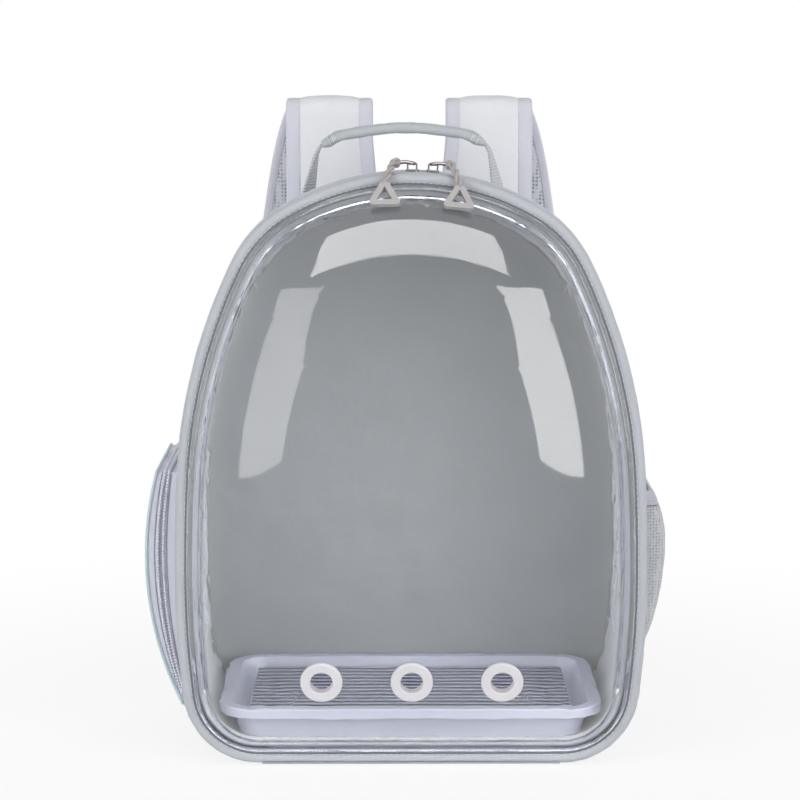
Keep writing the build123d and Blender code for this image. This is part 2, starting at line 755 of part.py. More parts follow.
# a short web carries the cover on its bead; the cover's ends and the base wall start above it
web_top = hatch_axis_z + 2 * hatch_sleeve_radius
cover_web = slab(
    hatch_axis_x, hatch_axis_x + hatch_web_thickness, hatch_front, hatch_rear, hatch_axis_z, web_top
)
end_trim = hatch_wall + hatch_end_over
cover_ends = slab(corner_x, far, hatch_front, hatch_front + end_trim, 0, web_top)
cover_ends += slab(corner_x, far, hatch_rear - end_trim, hatch_rear, 0, web_top)
cover_shell = (hatch_hollow - zip_outer_side - cover_ends) - sleeve_space
wall_ring = (hatch_hollow & zip_inner_side) & above(web_top + hatch_sleeve_clearance)
parts["hatch_cover"] = mirror_x(cover_shell + cover_web + hatch_bead)
parts["hatch_base_wall"] = mirror_x(wall_ring)
parts["hatch_hinge_tape"] = mirror_x(hatch_sleeve() - outline_block(front_arcs, 0, hatch_front, hatch_rear))


# The slider and its pull are made where the zip's arc runs straight up, then turned to their place.
def hatch_slider_turn(shape):
    centre = Vector(hatch_zip_centre.X, 0, hatch_zip_centre.Z)
    rise = math.degrees(math.asin((hatch_top - hatch_slider_down - centre.Z) / hatch_zip_radius))
    return mirror_x(shape.rotate(Axis(centre, (0, 1, 0)), -rise))


hatch_slider_x = hatch_zip_centre.X + hatch_zip_radius
hatch_slider_z = hatch_zip_centre.Z
hatch_plate_y = hatch_rear + hatch_sleeve_clearance
hatch_bar_y = hatch_plate_y + hatch_slider_thickness + hatch_bar_stand


def hatch_slider():
    to_wall = Plane(
        origin=(hatch_slider_x, hatch_plate_y, hatch_slider_z), x_dir=(1, 0, 0), z_dir=(0, 1, 0)
    )
    plate = extrude(
        to_wall * RectangleRounded(hatch_slider_width, hatch_slider_length, slider_round),
        amount=hatch_slider_thickness,
    )
    seat = (hatch_slider_x, hatch_plate_y + hatch_slider_thickness / 2, hatch_slider_z)
    bail_plane = Plane(origin=seat, x_dir=(1, 0, 0), z_dir=(0, 0, 1))
    return plate + bail_arch(bail_plane, hatch_slider_width, hatch_bar_y - seat[1])


def hatch_pull():
    """Flat tab that hangs from the slider's bar by a knuckle."""
    across = Plane(
        origin=(hatch_slider_x - hatch_knuckle_length / 2, hatch_bar_y, hatch_slider_z),
        x_dir=(0, 1, 0), z_dir=(1, 0, 0),
    )
    knuckle = extrude(across * Circle(hatch_knuckle_radius), amount=hatch_knuckle_length)
    bar_reach = math.hypot(bail_thickness, bail_width) / 2
    bore = extrude(across * Circle(bar_reach + hatch_knuckle_clearance), amount=hatch_knuckle_length)
    to_wall = Plane(
        origin=(hatch_slider_x, hatch_bar_y, hatch_slider_z - hatch_pull_length / 2),
        x_dir=(1, 0, 0), z_dir=(0, -1, 0),
    )
    neck = extrude(
        to_wall * Rectangle(hatch_knuckle_length, hatch_pull_length),
        amount=hatch_pull_thickness / 2, both=True,
    )
    blade_drop = 2 * hatch_knuckle_radius
    blade = extrude(
        to_wall * Pos(0, -blade_drop / 2) * RectangleRounded(
            hatch_pull_width, hatch_pull_length - blade_drop, hatch_pull_width / 2 - 0.2
        ),
        amount=hatch_pull_thickness / 2, both=True,
    )
    blade -= extrude(
        to_wall * Pos(0, -hatch_pull_length / 2 + hatch_pull_width / 2) * Circle(hatch_pull_hole),
        amount=hatch_pull_thickness, both=True,
    )
    neck &= slab(0, far, -far, far, hatch_slider_z - hatch_pull_length / 2, hatch_slider_z)
    return knuckle + neck + blade - bore


parts["hatch_slider"] = hatch_slider_turn(hatch_slider())
parts["hatch_pull"] = hatch_slider_turn(hatch_pull())


# ---- right pouch ------------------------------------------------------------------------------
def pouch_block(wall):
    """Pouch form, reduced by a wall or enlarged by a negative one."""
    low = (side_x(pouch_low) + pouch_foot_depth - wall, 0, pouch_low + max(wall, 0))
    middle = (side_x(pouch_mid_height) + pouch_mid_depth - wall, 0, pouch_mid_height)
    high = (side_x(pouch_high) + pouch_top_depth - wall, 0, pouch_high)
    return bulge_block(ThreePointArc(low, middle, high), pouch_front + wall, pouch_rear - wall)


hem_low = pouch_high - hem_height
parts["pouch_mesh"] = (pouch_block(0) - pouch_block(pouch_wall)) & below(hem_low)
parts["pouch_hem"] = (pouch_block(-hem_extra) - pouch_block(pouch_wall + hem_extra)) & above(hem_low)

# ---- tray and grate ---------------------------------------------------------------------------
tray_top = floor_top + tray_height
tray_inner_floor = floor_top + tray_wall


def tray_block(inset, z_from, z_to):
    """Tapering block with rounded corners, reduced all round by an inset."""
    low = Pos(0, 0, z_from) * RectangleRounded(
        tray_bottom_width - 2 * inset, tray_bottom_depth - 2 * inset, tray_corner - inset
    )
    high = Pos(0, 0, z_to) * RectangleRounded(
        tray_top_width - 2 * inset, tray_top_depth - 2 * inset, tray_corner - inset
    )
    return loft([low, high])


def tray():
    """Moulded tray: tapering basin and a rim that turns down all round."""
    basin = tray_block(0, floor_top, tray_top) - tray_block(tray_wall, tray_inner_floor, tray_top)
    rim_low = tray_top - rim_drop
    rim_corner = tray_corner + (rim_width - tray_top_width) / 2
    rim = extrude(Pos(0, 0, rim_low) * RectangleRounded(rim_width, rim_depth, rim_corner), amount=rim_drop)
    under = extrude(
        Pos(0, 0, rim_low) * RectangleRounded(
            rim_width - 2 * tray_wall, rim_depth - 2 * tray_wall, rim_corner - tray_wall
        ),
        amount=rim_drop - tray_wall,
    )
    rim = fillet(rim.faces().sort_by(Axis.Z)[-1].edges(), tray_wall * 0.6)
    return basin + (rim - under - tray_block(tray_wall / 2, floor_top, tray_top))


grate_wire_z = tray_top - grate_below_rim - grate_wire_radius
grate_bar_z = grate_wire_z - grate_wire_radius - grate_bar_radius
tray_inner_half = min(tray_bottom_depth, tray_top_depth) / 2 - tray_wall
grate_end = grate_bar_radius + grate_bar_bend
grate_front = grate_front_gap + grate_end - tray_inner_half
grate_rear = tray_inner_half - grate_rear_gap - grate_end


def grate_wires():
    """Long wires across the tray."""
    pitch = (grate_rear - grate_front) / (grate_wire_count - 1)
    solids = []
    for index in range(grate_wire_count):
        y = grate_front + pitch * index
        line = Line((-grate_half_length, y, grate_wire_z), (grate_half_length, y, grate_wire_z))
        solids += rod(Wire([line]), grate_wire_radius).solids()
    return Compound(children=solids)


def grate_bar(x):
    """Bar under the wires, whose ends turn down to the tray's floor."""
    front = grate_front - grate_bar_bend
    rear = grate_rear + grate_bar_bend
    path = FilletPolyline(
        (x, front, tray_inner_floor),
        (x, front, grate_bar_z),
        (x, rear, grate_bar_z),
        (x, rear, tray_inner_floor),
        radius=grate_bar_bend,
    )
    return rod(Wire(path.edges()), grate_bar_radius)


parts["tray"] = tray()
parts["grate"] = grate_wires()
for label, x in (("left", -grate_bar_spacing), ("middle", 0), ("right", grate_bar_spacing)):
    parts["grate_bar_" + label] = grate_bar(x)

# ---- back -------------------------------------------------------------------------------------
panel_wire = outline_wire(rear_arcs, gusset_wall, gusset_rear - back_panel_thickness)
parts["back_panel"] = prism(panel_wire, back_panel_thickness)
piping_path = outline_wire(rear_arcs, piping_radius, gusset_rear + piping_radius)
parts["rear_piping"] = rod(piping_path, piping_radius)


def back_pad(x_from, x_to, z_from, z_to):
    """Foam pad on the back panel with softened edges."""
    middle = ((x_from + x_to) / 2, gusset_rear, (z_from + z_to) / 2)
    plane = Plane(origin=middle, x_dir=(1, 0, 0), z_dir=(0, 1, 0))
    pad = extrude(plane * RectangleRounded(x_to - x_from, z_to - z_from, pad_corner), amount=pad_depth)
    return fillet(pad.faces().sort_by(Axis.Y)[-1].edges(), pad_depth / 2)


parts["back_pad_left"] = back_pad(-pad_outer, -pad_gap / 2, pad_low, pad_high)
parts["back_pad_right"] = back_pad(pad_gap / 2, pad_outer, pad_low, pad_high)
parts["lumbar_pad"] = back_pad(-lumbar_half_width, lumbar_half_width, lumbar_low, lumbar_high)

yoke_rear = gusset_rear + 2 * piping_radius + yoke_over_piping
inside_piping = outline_block(rear_arcs, 2 * piping_radius, gusset_rear, yoke_rear)
parts["strap_yoke"] = inside_piping & slab(-yoke_half_width, yoke_half_width, 0, far, yoke_low, yoke_high)

# ---- shoulder straps --------------------------------------------------------------------------
near_y = yoke_rear + strap_thickness / 2
fold_z = strap_top - strap_thickness / 2 - strap_fold_radius
far_y = near_y + 2 * strap_fold_radius
strap_end_x = strap_centre_x + strap_flare
strap_end_y = far_y + strap_end_stand

strap_drop = fold_z - strap_end_z
strap_path = Spline(
    (strap_centre_x, far_y, fold_z),
    (strap_centre_x + 0.4 * strap_flare, far_y + strap_bow / 2, fold_z - strap_drop / 3),
    (strap_centre_x + 0.8 * strap_flare, far_y + strap_bow, fold_z - 2 * strap_drop / 3),
    (strap_end_x, strap_end_y, strap_end_z),
    tangents=[(0, 0, -1), (0, -0.3, -1)],
)


def across_strap(direction):
    return direction.cross(Vector(0, 1, 0))


def strap_section(t):
    direction = strap_path % t
    width = strap_width + (strap_end_width - strap_width) * t
    plane = Plane(origin=strap_path @ t, x_dir=across_strap(direction), z_dir=direction)
    return plane * Rectangle(width, strap_thickness)


def shoulder_strap():
    """Padded strap: up from the yoke, folded over, and down behind to the ladder lock."""
    x_from = strap_centre_x - strap_width / 2
    near = slab(
        x_from, x_from + strap_width,
        near_y - strap_thickness / 2, near_y + strap_thickness / 2,
        strap_base, fold_z,
    )
    plane = Plane(origin=(x_from, near_y + strap_fold_radius, fold_z), x_dir=(0, 1, 0), z_dir=(1, 0, 0))
    outer = strap_fold_radius + strap_thickness / 2
    inner = strap_fold_radius - strap_thickness / 2
    ring = (Circle(outer) - Circle(inner)) & Pos(0, outer) * Rectangle(4 * outer, 2 * outer)
    fold = extrude(plane * ring, amount=strap_width)
    hanging = loft([strap_section(t) for t in (0, 0.2, 0.4, 0.6, 0.8, 1)])
    return near + fold + hanging


strap_end = Plane(origin=strap_path @ 1, x_dir=across_strap(strap_path % 1), z_dir=strap_path % 1)


def ladder_lock():
    """Two-slot buckle at the strap's end."""
    frame = Box(lock_width, lock_thickness, lock_height, align=(Align.CENTER, Align.CENTER, Align.MIN))
    slot_width = lock_width - 2 * lock_bar
    slot_height = (lock_height - 3 * lock_bar) / 2
    for index in range(2):
        middle = lock_bar + slot_height / 2 + (slot_height + lock_bar) * index
        frame -= Pos(0, 0, middle) * Box(slot_width, 2 * lock_thickness, slot_height)
    frame = fillet(frame.edges().filter_by(Axis.Y).sort_by(Axis.Z)[-2:], lock_bar / 2)
    return strap_end * frame


tab_rear = gusset_rear + corner_tab_thickness
web_foot_x = corner_x + web_foot_out


def strap_webbing():
    """Webbing from the ladder lock's lower bar down to the corner tab."""
    start = strap_end.origin + strap_end.z_dir * (lock_height - lock_bar / 2)
    foot_y = tab_rear + web_thickness / 2
    path = FilletPolyline(
        start, (web_foot_x, foot_y, web_foot_high), (web_foot_x, foot_y, web_foot_low), radius=web_bend
    )
    section = Plane(origin=start, x_dir=across_strap(path % 0), z_dir=path % 0)
    return sweep(section * Rectangle(web_width, web_thickness), path=path)


def corner_tab():
    """Fabric tab in the lower rear corner that anchors the webbing."""
    inner = web_foot_x - web_width / 2 - tab_margin
    reach = web_foot_x + web_width / 2 + tab_margin
    corners = [
        (inner, web_foot_low - tab_margin),
        (reach, web_foot_low - 2 * tab_margin),
        (reach, web_foot_high + tab_margin),
        (inner, web_foot_high - tab_margin),
    ]
    wire = Polyline(*[(x, gusset_rear, z) for x, z in corners], close=True)
    plate = prism(Wire(wire.edges()), corner_tab_thickness)
    return plate & outline_block(rear_arcs, 2 * piping_radius, gusset_rear, tab_rear)


strap = shoulder_strap()
lock = ladder_lock()
tab = corner_tab()
webbing = strap_webbing() - lock - tab
strap_parts = {"shoulder_strap": strap, "ladder_lock": lock, "strap_webbing": webbing, "strap_tab": tab}
for name, shape in strap_parts.items():
    parts[name + "_right"] = shape
    parts[name + "_left"] = mirror_x(shape)

# ---- carry handle -----------------------------------------------------------------------------
handle_left_x = handle_centre_x - handle_half_span
handle_right_x = handle_centre_x + handle_half_span
foot_radius = handle_width / 2


def pivot_z(x):
    """Height of the handle's pivot over its patch."""
    nearer = abs(x) - handle_web
    return crown_z(nearer, handle_y) + patch_gap + patch_thickness + handle_clearance + foot_radius


handle_left = Vector(handle_left_x, handle_y, pivot_z(handle_left_x))
handle_right = Vector(handle_right_x, handle_y, pivot_z(handle_right_x))
shoulder_z = bag_height + handle_shoulder_rise
shoulder_left = Vector(handle_left_x + handle_shoulder_in, handle_y, shoulder_z)
shoulder_right = Vector(handle_right_x - handle_shoulder_in, handle_y, shoulder_z)
grip_top = Vector(handle_centre_x, handle_y, bag_height + handle_rise)


def grip_end(shoulder):
    return shoulder + (grip_top - shoulder).normalized() * grip_inset


def strip(path, thickness, width, corner=0.0):
    """Strap of a section width along Y and thickness across the path, which lies in an XZ plane."""
    plane = Plane(origin=path @ 0, x_dir=(0, 1, 0), z_dir=path % 0)
    section = RectangleRounded(width, thickness, corner) if corner else Rectangle(width, thickness)
    return sweep(plane * section, path=path)


def handle_leg(foot, shoulder):
    """Webbing leg with a rounded foot that turns over its patch."""
    path = FilletPolyline(foot, shoulder, grip_end(shoulder), radius=handle_bend)
    plane = Plane(origin=foot, x_dir=(0, 1, 0), z_dir=handle_right - handle_left)
    disc = extrude(plane * Circle(foot_radius), amount=handle_web / 2, both=True)
    return strip(path, handle_web, handle_width) + disc


legs = [handle_leg(handle_left, shoulder_left), handle_leg(handle_right, shoulder_right)]
parts["handle_webbing"] = Compound(children=[leg.solids()[0] for leg in legs])
grip_path = FilletPolyline(grip_end(shoulder_left), grip_top, grip_end(shoulder_right), radius=grip_bend)
parts["handle_grip"] = strip(grip_path, grip_thickness, grip_width, grip_thickness * 0.4)

patch_skin = shell_block(-patch_gap - patch_thickness) - shell_block(-patch_gap)
for label, x in (("left", handle_left_x), ("right", handle_right_x)):
    patch_area = slab(
        x - patch_length / 2, x + patch_length / 2, handle_y - patch_width / 2, handle_y + patch_width / 2,
        split_height, far,
    )
    parts["handle_patch_" + label] = patch_skin & patch_area

os.makedirs("parts", exist_ok=True)
for name, shape in parts.items():
    export_step(shape, "parts/" + name + ".step")
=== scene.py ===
import math

import bmesh
import bpy
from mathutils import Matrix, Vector, noise


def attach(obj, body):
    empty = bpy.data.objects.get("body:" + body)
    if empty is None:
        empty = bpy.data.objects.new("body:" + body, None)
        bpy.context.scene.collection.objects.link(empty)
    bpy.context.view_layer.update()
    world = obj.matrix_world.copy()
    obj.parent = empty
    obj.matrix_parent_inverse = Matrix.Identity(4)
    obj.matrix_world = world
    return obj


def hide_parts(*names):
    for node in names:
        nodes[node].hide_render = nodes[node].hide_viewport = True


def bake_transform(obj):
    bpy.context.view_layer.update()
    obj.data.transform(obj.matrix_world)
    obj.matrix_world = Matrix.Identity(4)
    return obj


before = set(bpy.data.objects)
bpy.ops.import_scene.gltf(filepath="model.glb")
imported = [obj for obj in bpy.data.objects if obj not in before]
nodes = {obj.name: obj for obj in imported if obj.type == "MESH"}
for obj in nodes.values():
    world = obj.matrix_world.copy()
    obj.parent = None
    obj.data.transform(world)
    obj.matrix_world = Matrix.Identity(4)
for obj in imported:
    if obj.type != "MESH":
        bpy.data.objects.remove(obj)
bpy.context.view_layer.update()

scene = bpy.context.scene

MM = 0.001                      # lengths are in mm and angles in degrees up to the stage, below
SIDES = (("left", -1), ("right", 1))


# ---- outline, as in the part's source -----------------------------------------------------------
# Seen from the front, half of the bag is six arcs, from the bottom corner up to the apex.
HALF_WIDTH = 167                # at the widest height
CORNER_TOP, WIDEST, SHOULDER = 48, 130, 205              # heights where arcs meet
LOW_TURN, SIDE_TURN, SHOULDER_TURN, CROWN_TURN = 7, 3, 26, 60    # the arcs' angles there
FRONT_Y, REAR_Y = -62, 88       # the bag's front and rear edges
FRONT_APEX, FRONT_CROWN = 420, 178    # height and crown radius at the front edge
REAR_APEX, REAR_CROWN = 398, 165      # and at the rear edge
WALL = 5.0                      # the bag's wall
ZIP_INSET = 1.8                 # of the zip's line, from the outline
FLAT = 1000.0                   # centre and radius that stand for the straight bottom
SIDE_TOP = 330                  # height up to which the walls count as sides


def sind(a):
    return math.sin(math.radians(a))


def cosd(a):
    return math.cos(math.radians(a))


def clamp(t):
    return min(max(t, 0.0), 1.0)


def squared(c, power):
    """A sine or cosine to a power with its sign kept, which squares off a circle."""
    return math.copysign(abs(c) ** power, c)


def half_outline(apex, crown):
    """The right half's arcs: centre, radius, and the angles where each starts and ends."""
    corner = CORNER_TOP / (1 - sind(LOW_TURN))
    low = (WIDEST - CORNER_TOP) / sind(LOW_TURN)
    high = (SHOULDER - WIDEST) / sind(SIDE_TURN)
    corner_x = HALF_WIDTH - low * (1 - cosd(LOW_TURN)) - corner * cosd(LOW_TURN)
    split_x = HALF_WIDTH - high * (1 - cosd(SIDE_TURN))
    # two more arcs cover the run that is left between the side and the crown
    run_x = split_x - crown * sind(90 - CROWN_TURN)
    run_z = apex - SHOULDER - crown * (1 - cosd(90 - CROWN_TURN))
    fx, fz = cosd(SIDE_TURN) - cosd(SHOULDER_TURN), sind(SHOULDER_TURN) - sind(SIDE_TURN)
    gx, gz = cosd(SHOULDER_TURN) - cosd(CROWN_TURN), sind(CROWN_TURN) - sind(SHOULDER_TURN)
    det = fx * gz - gx * fz
    r3 = (run_x * gz - gx * run_z) / det
    r4 = (fx * run_z - run_x * fz) / det
    x3, z3 = split_x - r3 * cosd(SIDE_TURN), SHOULDER - r3 * sind(SIDE_TURN)
    x4, z4 = x3 + (r3 - r4) * cosd(SHOULDER_TURN), z3 + (r3 - r4) * sind(SHOULDER_TURN)
    return [
        (corner_x, corner, corner, -90, -LOW_TURN),
        (HALF_WIDTH - low, WIDEST, low, -LOW_TURN, 0),
        (HALF_WIDTH - high, WIDEST, high, 0, SIDE_TURN),
        (x3, z3, r3, SIDE_TURN, SHOULDER_TURN),
        (x4, z4, r4, SHOULDER_TURN, CROWN_TURN),
        (0, apex - crown, crown, CROWN_TURN, 90),
    ]


FRONT = half_outline(FRONT_APEX, FRONT_CROWN)
REAR = half_outline(REAR_APEX, REAR_CROWN)
CORNER_X = FRONT[0][0]


def station(y):
    """The arcs at a depth y, blended from the front ones to the rear ones."""
    t = clamp((y - FRONT_Y) / (REAR_Y - FRONT_Y))
    return [tuple(a + (b - a) * t for a, b in zip(f, r)) for f, r in zip(FRONT, REAR)]


def spokes(y, step, low=None):
    """Centre, radius and direction at even steps, round the outline or its arch above a height."""
    right = []
    for k, (x, z, r, a0, a1) in enumerate(station(y)):
        start = FRONT[k][3]
        if low is not None:
            if k == 0:
                continue
            if k == 1:
                a0 = start = math.degrees(math.asin((low - z) / (r - ZIP_INSET)))
        n = max(2, round(FRONT[k][2] * math.radians(a1 - start) / step))
        angles = [a0 + (a1 - a0) * i / n for i in range(n)]
        right += [(x, z, r, cosd(a), sind(a)) for a in angles]
    x, z, r = station(y)[-1][:3]
    left = [(-x, z, r, -dx, dz) for x, z, r, dx, dz in reversed(right)]
    ring = right + [(x, z, r, 0.0, 1.0)] + left
    if low is None:
        n = round(2 * CORNER_X / step)
        ring += [(-CORNER_X + 2 * CORNER_X * i / n, FLAT, FLAT, 0.0, -1.0) for i in range(1, n)]
    return ring


def at(spoke, inset, y):
    x, z, r, dx, dz = spoke
    return (x + (r - inset) * dx, y, z + (r - inset) * dz)


def side_x(z, y=FRONT_Y):
    """Half of the bag's width at a height."""
    for x, centre, r, a0, a1 in station(y):
        if centre + r * sind(a0) <= z <= centre + r * sind(a1):
            return x + math.sqrt(r * r - (z - centre) ** 2)
    return 0.0


# ---- meshes -------------------------------------------------------------------------------------
def grid(rows, wrap_rows=False, wrap_cols=False, caps=False):
    """Points and faces of a sheet given as rows of points."""
    n, m = len(rows), len(rows[0])
    verts = [p for row in rows for p in row]
    faces = []
    for i in range(n if wrap_rows else n - 1):
        for j in range(m if wrap_cols else m - 1):
            k, q = (i + 1) % n, (j + 1) % m
            faces.append((i * m + j, i * m + q, k * m + q, k * m + j))
    if caps:
        faces.append(tuple(reversed(range(m))))
        faces.append(tuple((n - 1) * m + j for j in range(m)))
    return verts, faces


def rod(rows):
    """A sheet closed round its rows and capped at both ends."""
    return grid(rows, False, True, True)


def merge(*grids):
    verts, faces = [], []
    for v, f in grids:
        faces += [tuple(i + len(verts) for i in face) for face in f]
        verts += v
    return verts, faces


def outward(me):
    bm = bmesh.new()
    bm.from_mesh(me)
    bmesh.ops.recalc_face_normals(bm, faces=bm.faces)
    bm.to_mesh(me)
    bm.free()


def smooth_faces(me):
    me.polygons.foreach_set("use_smooth", [True] * len(me.polygons))


def added(name, data):
    o = bpy.data.objects.new(name, data)
    scene.collection.objects.link(o)
    return o


def piece(name, shape, material, body, replaces=(), smooth=True):
    verts, faces = shape
    me = bpy.data.meshes.new(name)
    me.from_pydata([Vector(v) * MM for v in verts], [], faces)
    me.validate()
    outward(me)
    if smooth:
        smooth_faces(me)
    me.materials.append(material)
    return settle(added(name, me), body, replaces)


def settle(o, body, replaces=()):
    if body:
        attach(o, body)
    if replaces:
        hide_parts(*replaces)
    return o


def bake(o):
    """Apply the modifiers."""
    dg = bpy.context.evaluated_depsgraph_get()
    me = bpy.data.meshes.new_from_object(o.evaluated_get(dg))
    o.modifiers.clear()
    o.data = me
    smooth_faces(me)


def rumple(o, amount, size, seed=0.0, stretch=(1, 1, 1)):
    """Moves points along their normals by soft noise; amount in mm, or a function of the point."""
    fine_share, fine_scale = 0.45, 2.3
    me = o.data
    moved = []
    for v, n in zip(me.vertices, me.vertex_normals):
        p = v.co * 1000
        q = Vector([c * s for c, s in zip(p, stretch)]) / size + Vector((seed, seed, seed))
        k = noise.noise(q) + fine_share * noise.noise(q * fine_scale)
        a = amount(p) if callable(amount) else amount
        to = v.co + n.vector * (a * k * MM)
        moved += [to.x, to.y, max(to.z, 0.0)]
    me.vertices.foreach_set("co", moved)
    me.update()


def soften(name, sources, voxel, material, body, relax=4, swell=0.0):
    """Soft copy of CAD nodes: voxel remesh, relaxed, and swollen by some mm."""
    me = bpy.data.meshes.new(name)
    bm = bmesh.new()
    for source in sources:
        bm.from_mesh(nodes[source].data)
    bmesh.ops.remove_doubles(bm, verts=bm.verts, dist=1e-6)
    bm.to_mesh(me)
    bm.free()
    o = added(name, me)
    remesh = o.modifiers.new("remesh", "REMESH")
    remesh.mode = "VOXEL"
    remesh.voxel_size = voxel * MM
    relaxing = o.modifiers.new("relax", "SMOOTH")
    relaxing.factor = 0.5
    relaxing.iterations = relax
    bake(o)
    if swell:
        co = []
        for v, n in zip(o.data.vertices, o.data.vertex_normals):
            co += list(v.co + n.vector * swell * MM)
        o.data.vertices.foreach_set("co", co)
        o.data.update()
    paint(o, material)
    return settle(o, body, sources)


def paint(o, material):
    o.data.materials.clear()
    o.data.materials.append(material)


def dress(material, *names):
    for name in names:
        paint(nodes[name], material)


# ---- paths and sections -------------------------------------------------------------------------
def vectors(points):
    return [Vector(p) for p in points]


def rounded(points, radius, step=1.5):
    """Even points along a polyline whose corners are rounded."""
    pts = vectors(points)
    out = [pts[0]]
    for a, p, b in zip(pts, pts[1:], pts[2:]):
        u, w = a - p, b - p
        d = min(radius, u.length * 0.49, w.length * 0.49)    # a turn takes under half of a run
        s, e = p + u.normalized() * d, p + w.normalized() * d
        for t in [k / 8 for k in range(9)]:
            out.append(s * (1 - t) ** 2 + p * 2 * t * (1 - t) + e * t * t)
    return even(out + [pts[-1]], step)


def even(points, step):
    pts = vectors(points)
    total = sum((b - a).length for a, b in zip(pts, pts[1:]))
    n = max(2, round(total / step))
    out, want, run = [pts[0]], total / n, 0.0
    for a, b in zip(pts, pts[1:]):
        d = (b - a).length
        while d > 0 and run + d >= want * len(out) - 1e-9 and len(out) < n:
            out.append(a + (b - a) * ((want * len(out) - run) / d))
        run += d
    return out + [pts[-1]]


def heading(path, i):
    """Direction of an open path at one of its points."""
    return (path[min(i + 1, len(path) - 1)] - path[max(i - 1, 0)]).normalized()


def from_end(path, i):
    return min(i, len(path) - 1 - i)


def frames(path, closed=False):
    """Direction and two square axes at each point, turning as little as they can."""
    n = len(path)
    tangents = []
    for i in range(n):
        a = path[i - 1] if (i or closed) else path[0]
        b = path[(i + 1) % n] if (i < n - 1 or closed) else path[-1]
        tangents.append((b - a).normalized())
    side = tangents[0].orthogonal().normalized()
    out = []
    for t in tangents:
        side = (side - t * side.dot(t)).normalized()
        out.append((t, side, t.cross(side)))
    return out


def tube(path, radius, sides=8, closed=False):
    """Tube along points; radius is a number or a function of the point's index."""
    angles = [360 * k / sides for k in range(sides)]
    rows = []
    for i, (p, (_, u, w)) in enumerate(zip(path, frames(path, closed))):
        r = radius(i) if callable(radius) else radius
        rows.append([p + u * (r * cosd(a)) + w * (r * sind(a)) for a in angles])
    return grid(rows, closed, True, not closed)


def around(section, step, low=None):
    """Sweep of a closed section of (inset, y) points round the outline."""
    columns = [[at(s, inset, y) for s in spokes(y, step, low)] for inset, y in section]
    return grid([list(row) for row in zip(*columns)], low is None, True, low is not None)


def oblong(a0, a1, b0, b1, r=0.4, n=3):
    """Closed section: a rectangle with rounded corners, from a0 to a1 and b0 to b1."""
    r = min(r, abs(a1 - a0) / 2.01, abs(b1 - b0) / 2.01)
    centres = ((a1 - r, b1 - r), (a0 + r, b1 - r), (a0 + r, b0 + r), (a1 - r, b0 + r))
    out = []
    for quarter, (ca, cb) in enumerate(centres):
        turns = [90 * quarter + 90 * k / n for k in range(n + 1)]
        out += [(ca + r * cosd(t), cb + r * sind(t)) for t in turns]
    return out


def circle(inset, y, r, n=14):
    return [(inset + r * cosd(360 * k / n), y + r * sind(360 * k / n)) for k in range(n)]


def stitches(lines, length=3.2, gap=1.6, radius=0.42):
    """Short raised threads along each line of points, thin at both ends."""
    profile = ((0, 0.35), (0.2, 0.9), (0.8, 0.9), (1, 0.35))    # shares of length and radius
    turns = [72 * k for k in range(5)]
    out = []
    for line in lines:
        pts = even(line, (length + gap) / 4)
        for i in range(0, len(pts) - 4, 4):
            a, b = pts[i], pts[i + 3]
            t = (b - a).normalized()
            u = t.orthogonal().normalized()
            w = t.cross(u)
            rows = []
            for share, r in profile:
                c = a + (b - a) * share
                rows.append([c + (u * cosd(q) + w * sind(q)) * radius * r for q in turns])
            out.append(rod(rows))
    return merge(*out)


# ---- materials ----------------------------------------------------------------------------------
def rgb(r, g, b):
    """Linear colour from the eight-bit numbers that a screen shows."""
    def lin(c):
        c /= 255
        return c / 12.92 if c <= 0.04045 else ((c + 0.055) / 1.055) ** 2.4
    return (lin(r), lin(g), lin(b), 1)


def shade(colour, k):
    return tuple(min(1.0, c * k) for c in colour[:3]) + (1.0,)


class Graph:
    """Short names for making nodes in a node tree."""

    def __init__(self, tree):
        self.tree = tree

    def node(self, kind, **values):
        n = self.tree.nodes.new(kind)
        for k, v in values.items():
            setattr(n, k, v)
        return n

    def link(self, a, b):
        self.tree.links.new(a, b)

    def math(self, op, a, b=0.0):
        n = self.node("ShaderNodeMath", operation=op)
        for socket, v in zip(n.inputs, (a, b)):
            if isinstance(v, (int, float)):
                socket.default_value = v
            else:
                self.link(v, socket)
        return n.outputs[0]

    def ramp(self, value, to=(0.0, 1.0), given=(0.0, 1.0), smooth=False):
        """Map a value from the given range to another."""
        kind = "SMOOTHSTEP" if smooth else "LINEAR"
        n = self.node("ShaderNodeMapRange", interpolation_type=kind)
        for name, v in zip(("From Min", "From Max", "To Min", "To Max"), given + to):
            n.inputs[name].default_value = v
        self.link(value, n.inputs["Value"])
        return n.outputs[0]

    def blend(self, fac, a, b):
        n = self.node("ShaderNodeMixShader")
        for socket, v in zip(n.inputs, (fac, a, b)):
            self.link(v, socket)
        return n.outputs[0]

    def seen(self):
        """1 where the background is seen directly, by reflection or through the clear dome."""
        ray = self.node("ShaderNodeLightPath").outputs
        near = self.math("MAXIMUM", ray["Is Camera Ray"], ray["Is Glossy Ray"])
        return self.math("MAXIMUM", near, ray["Is Transmission Ray"])


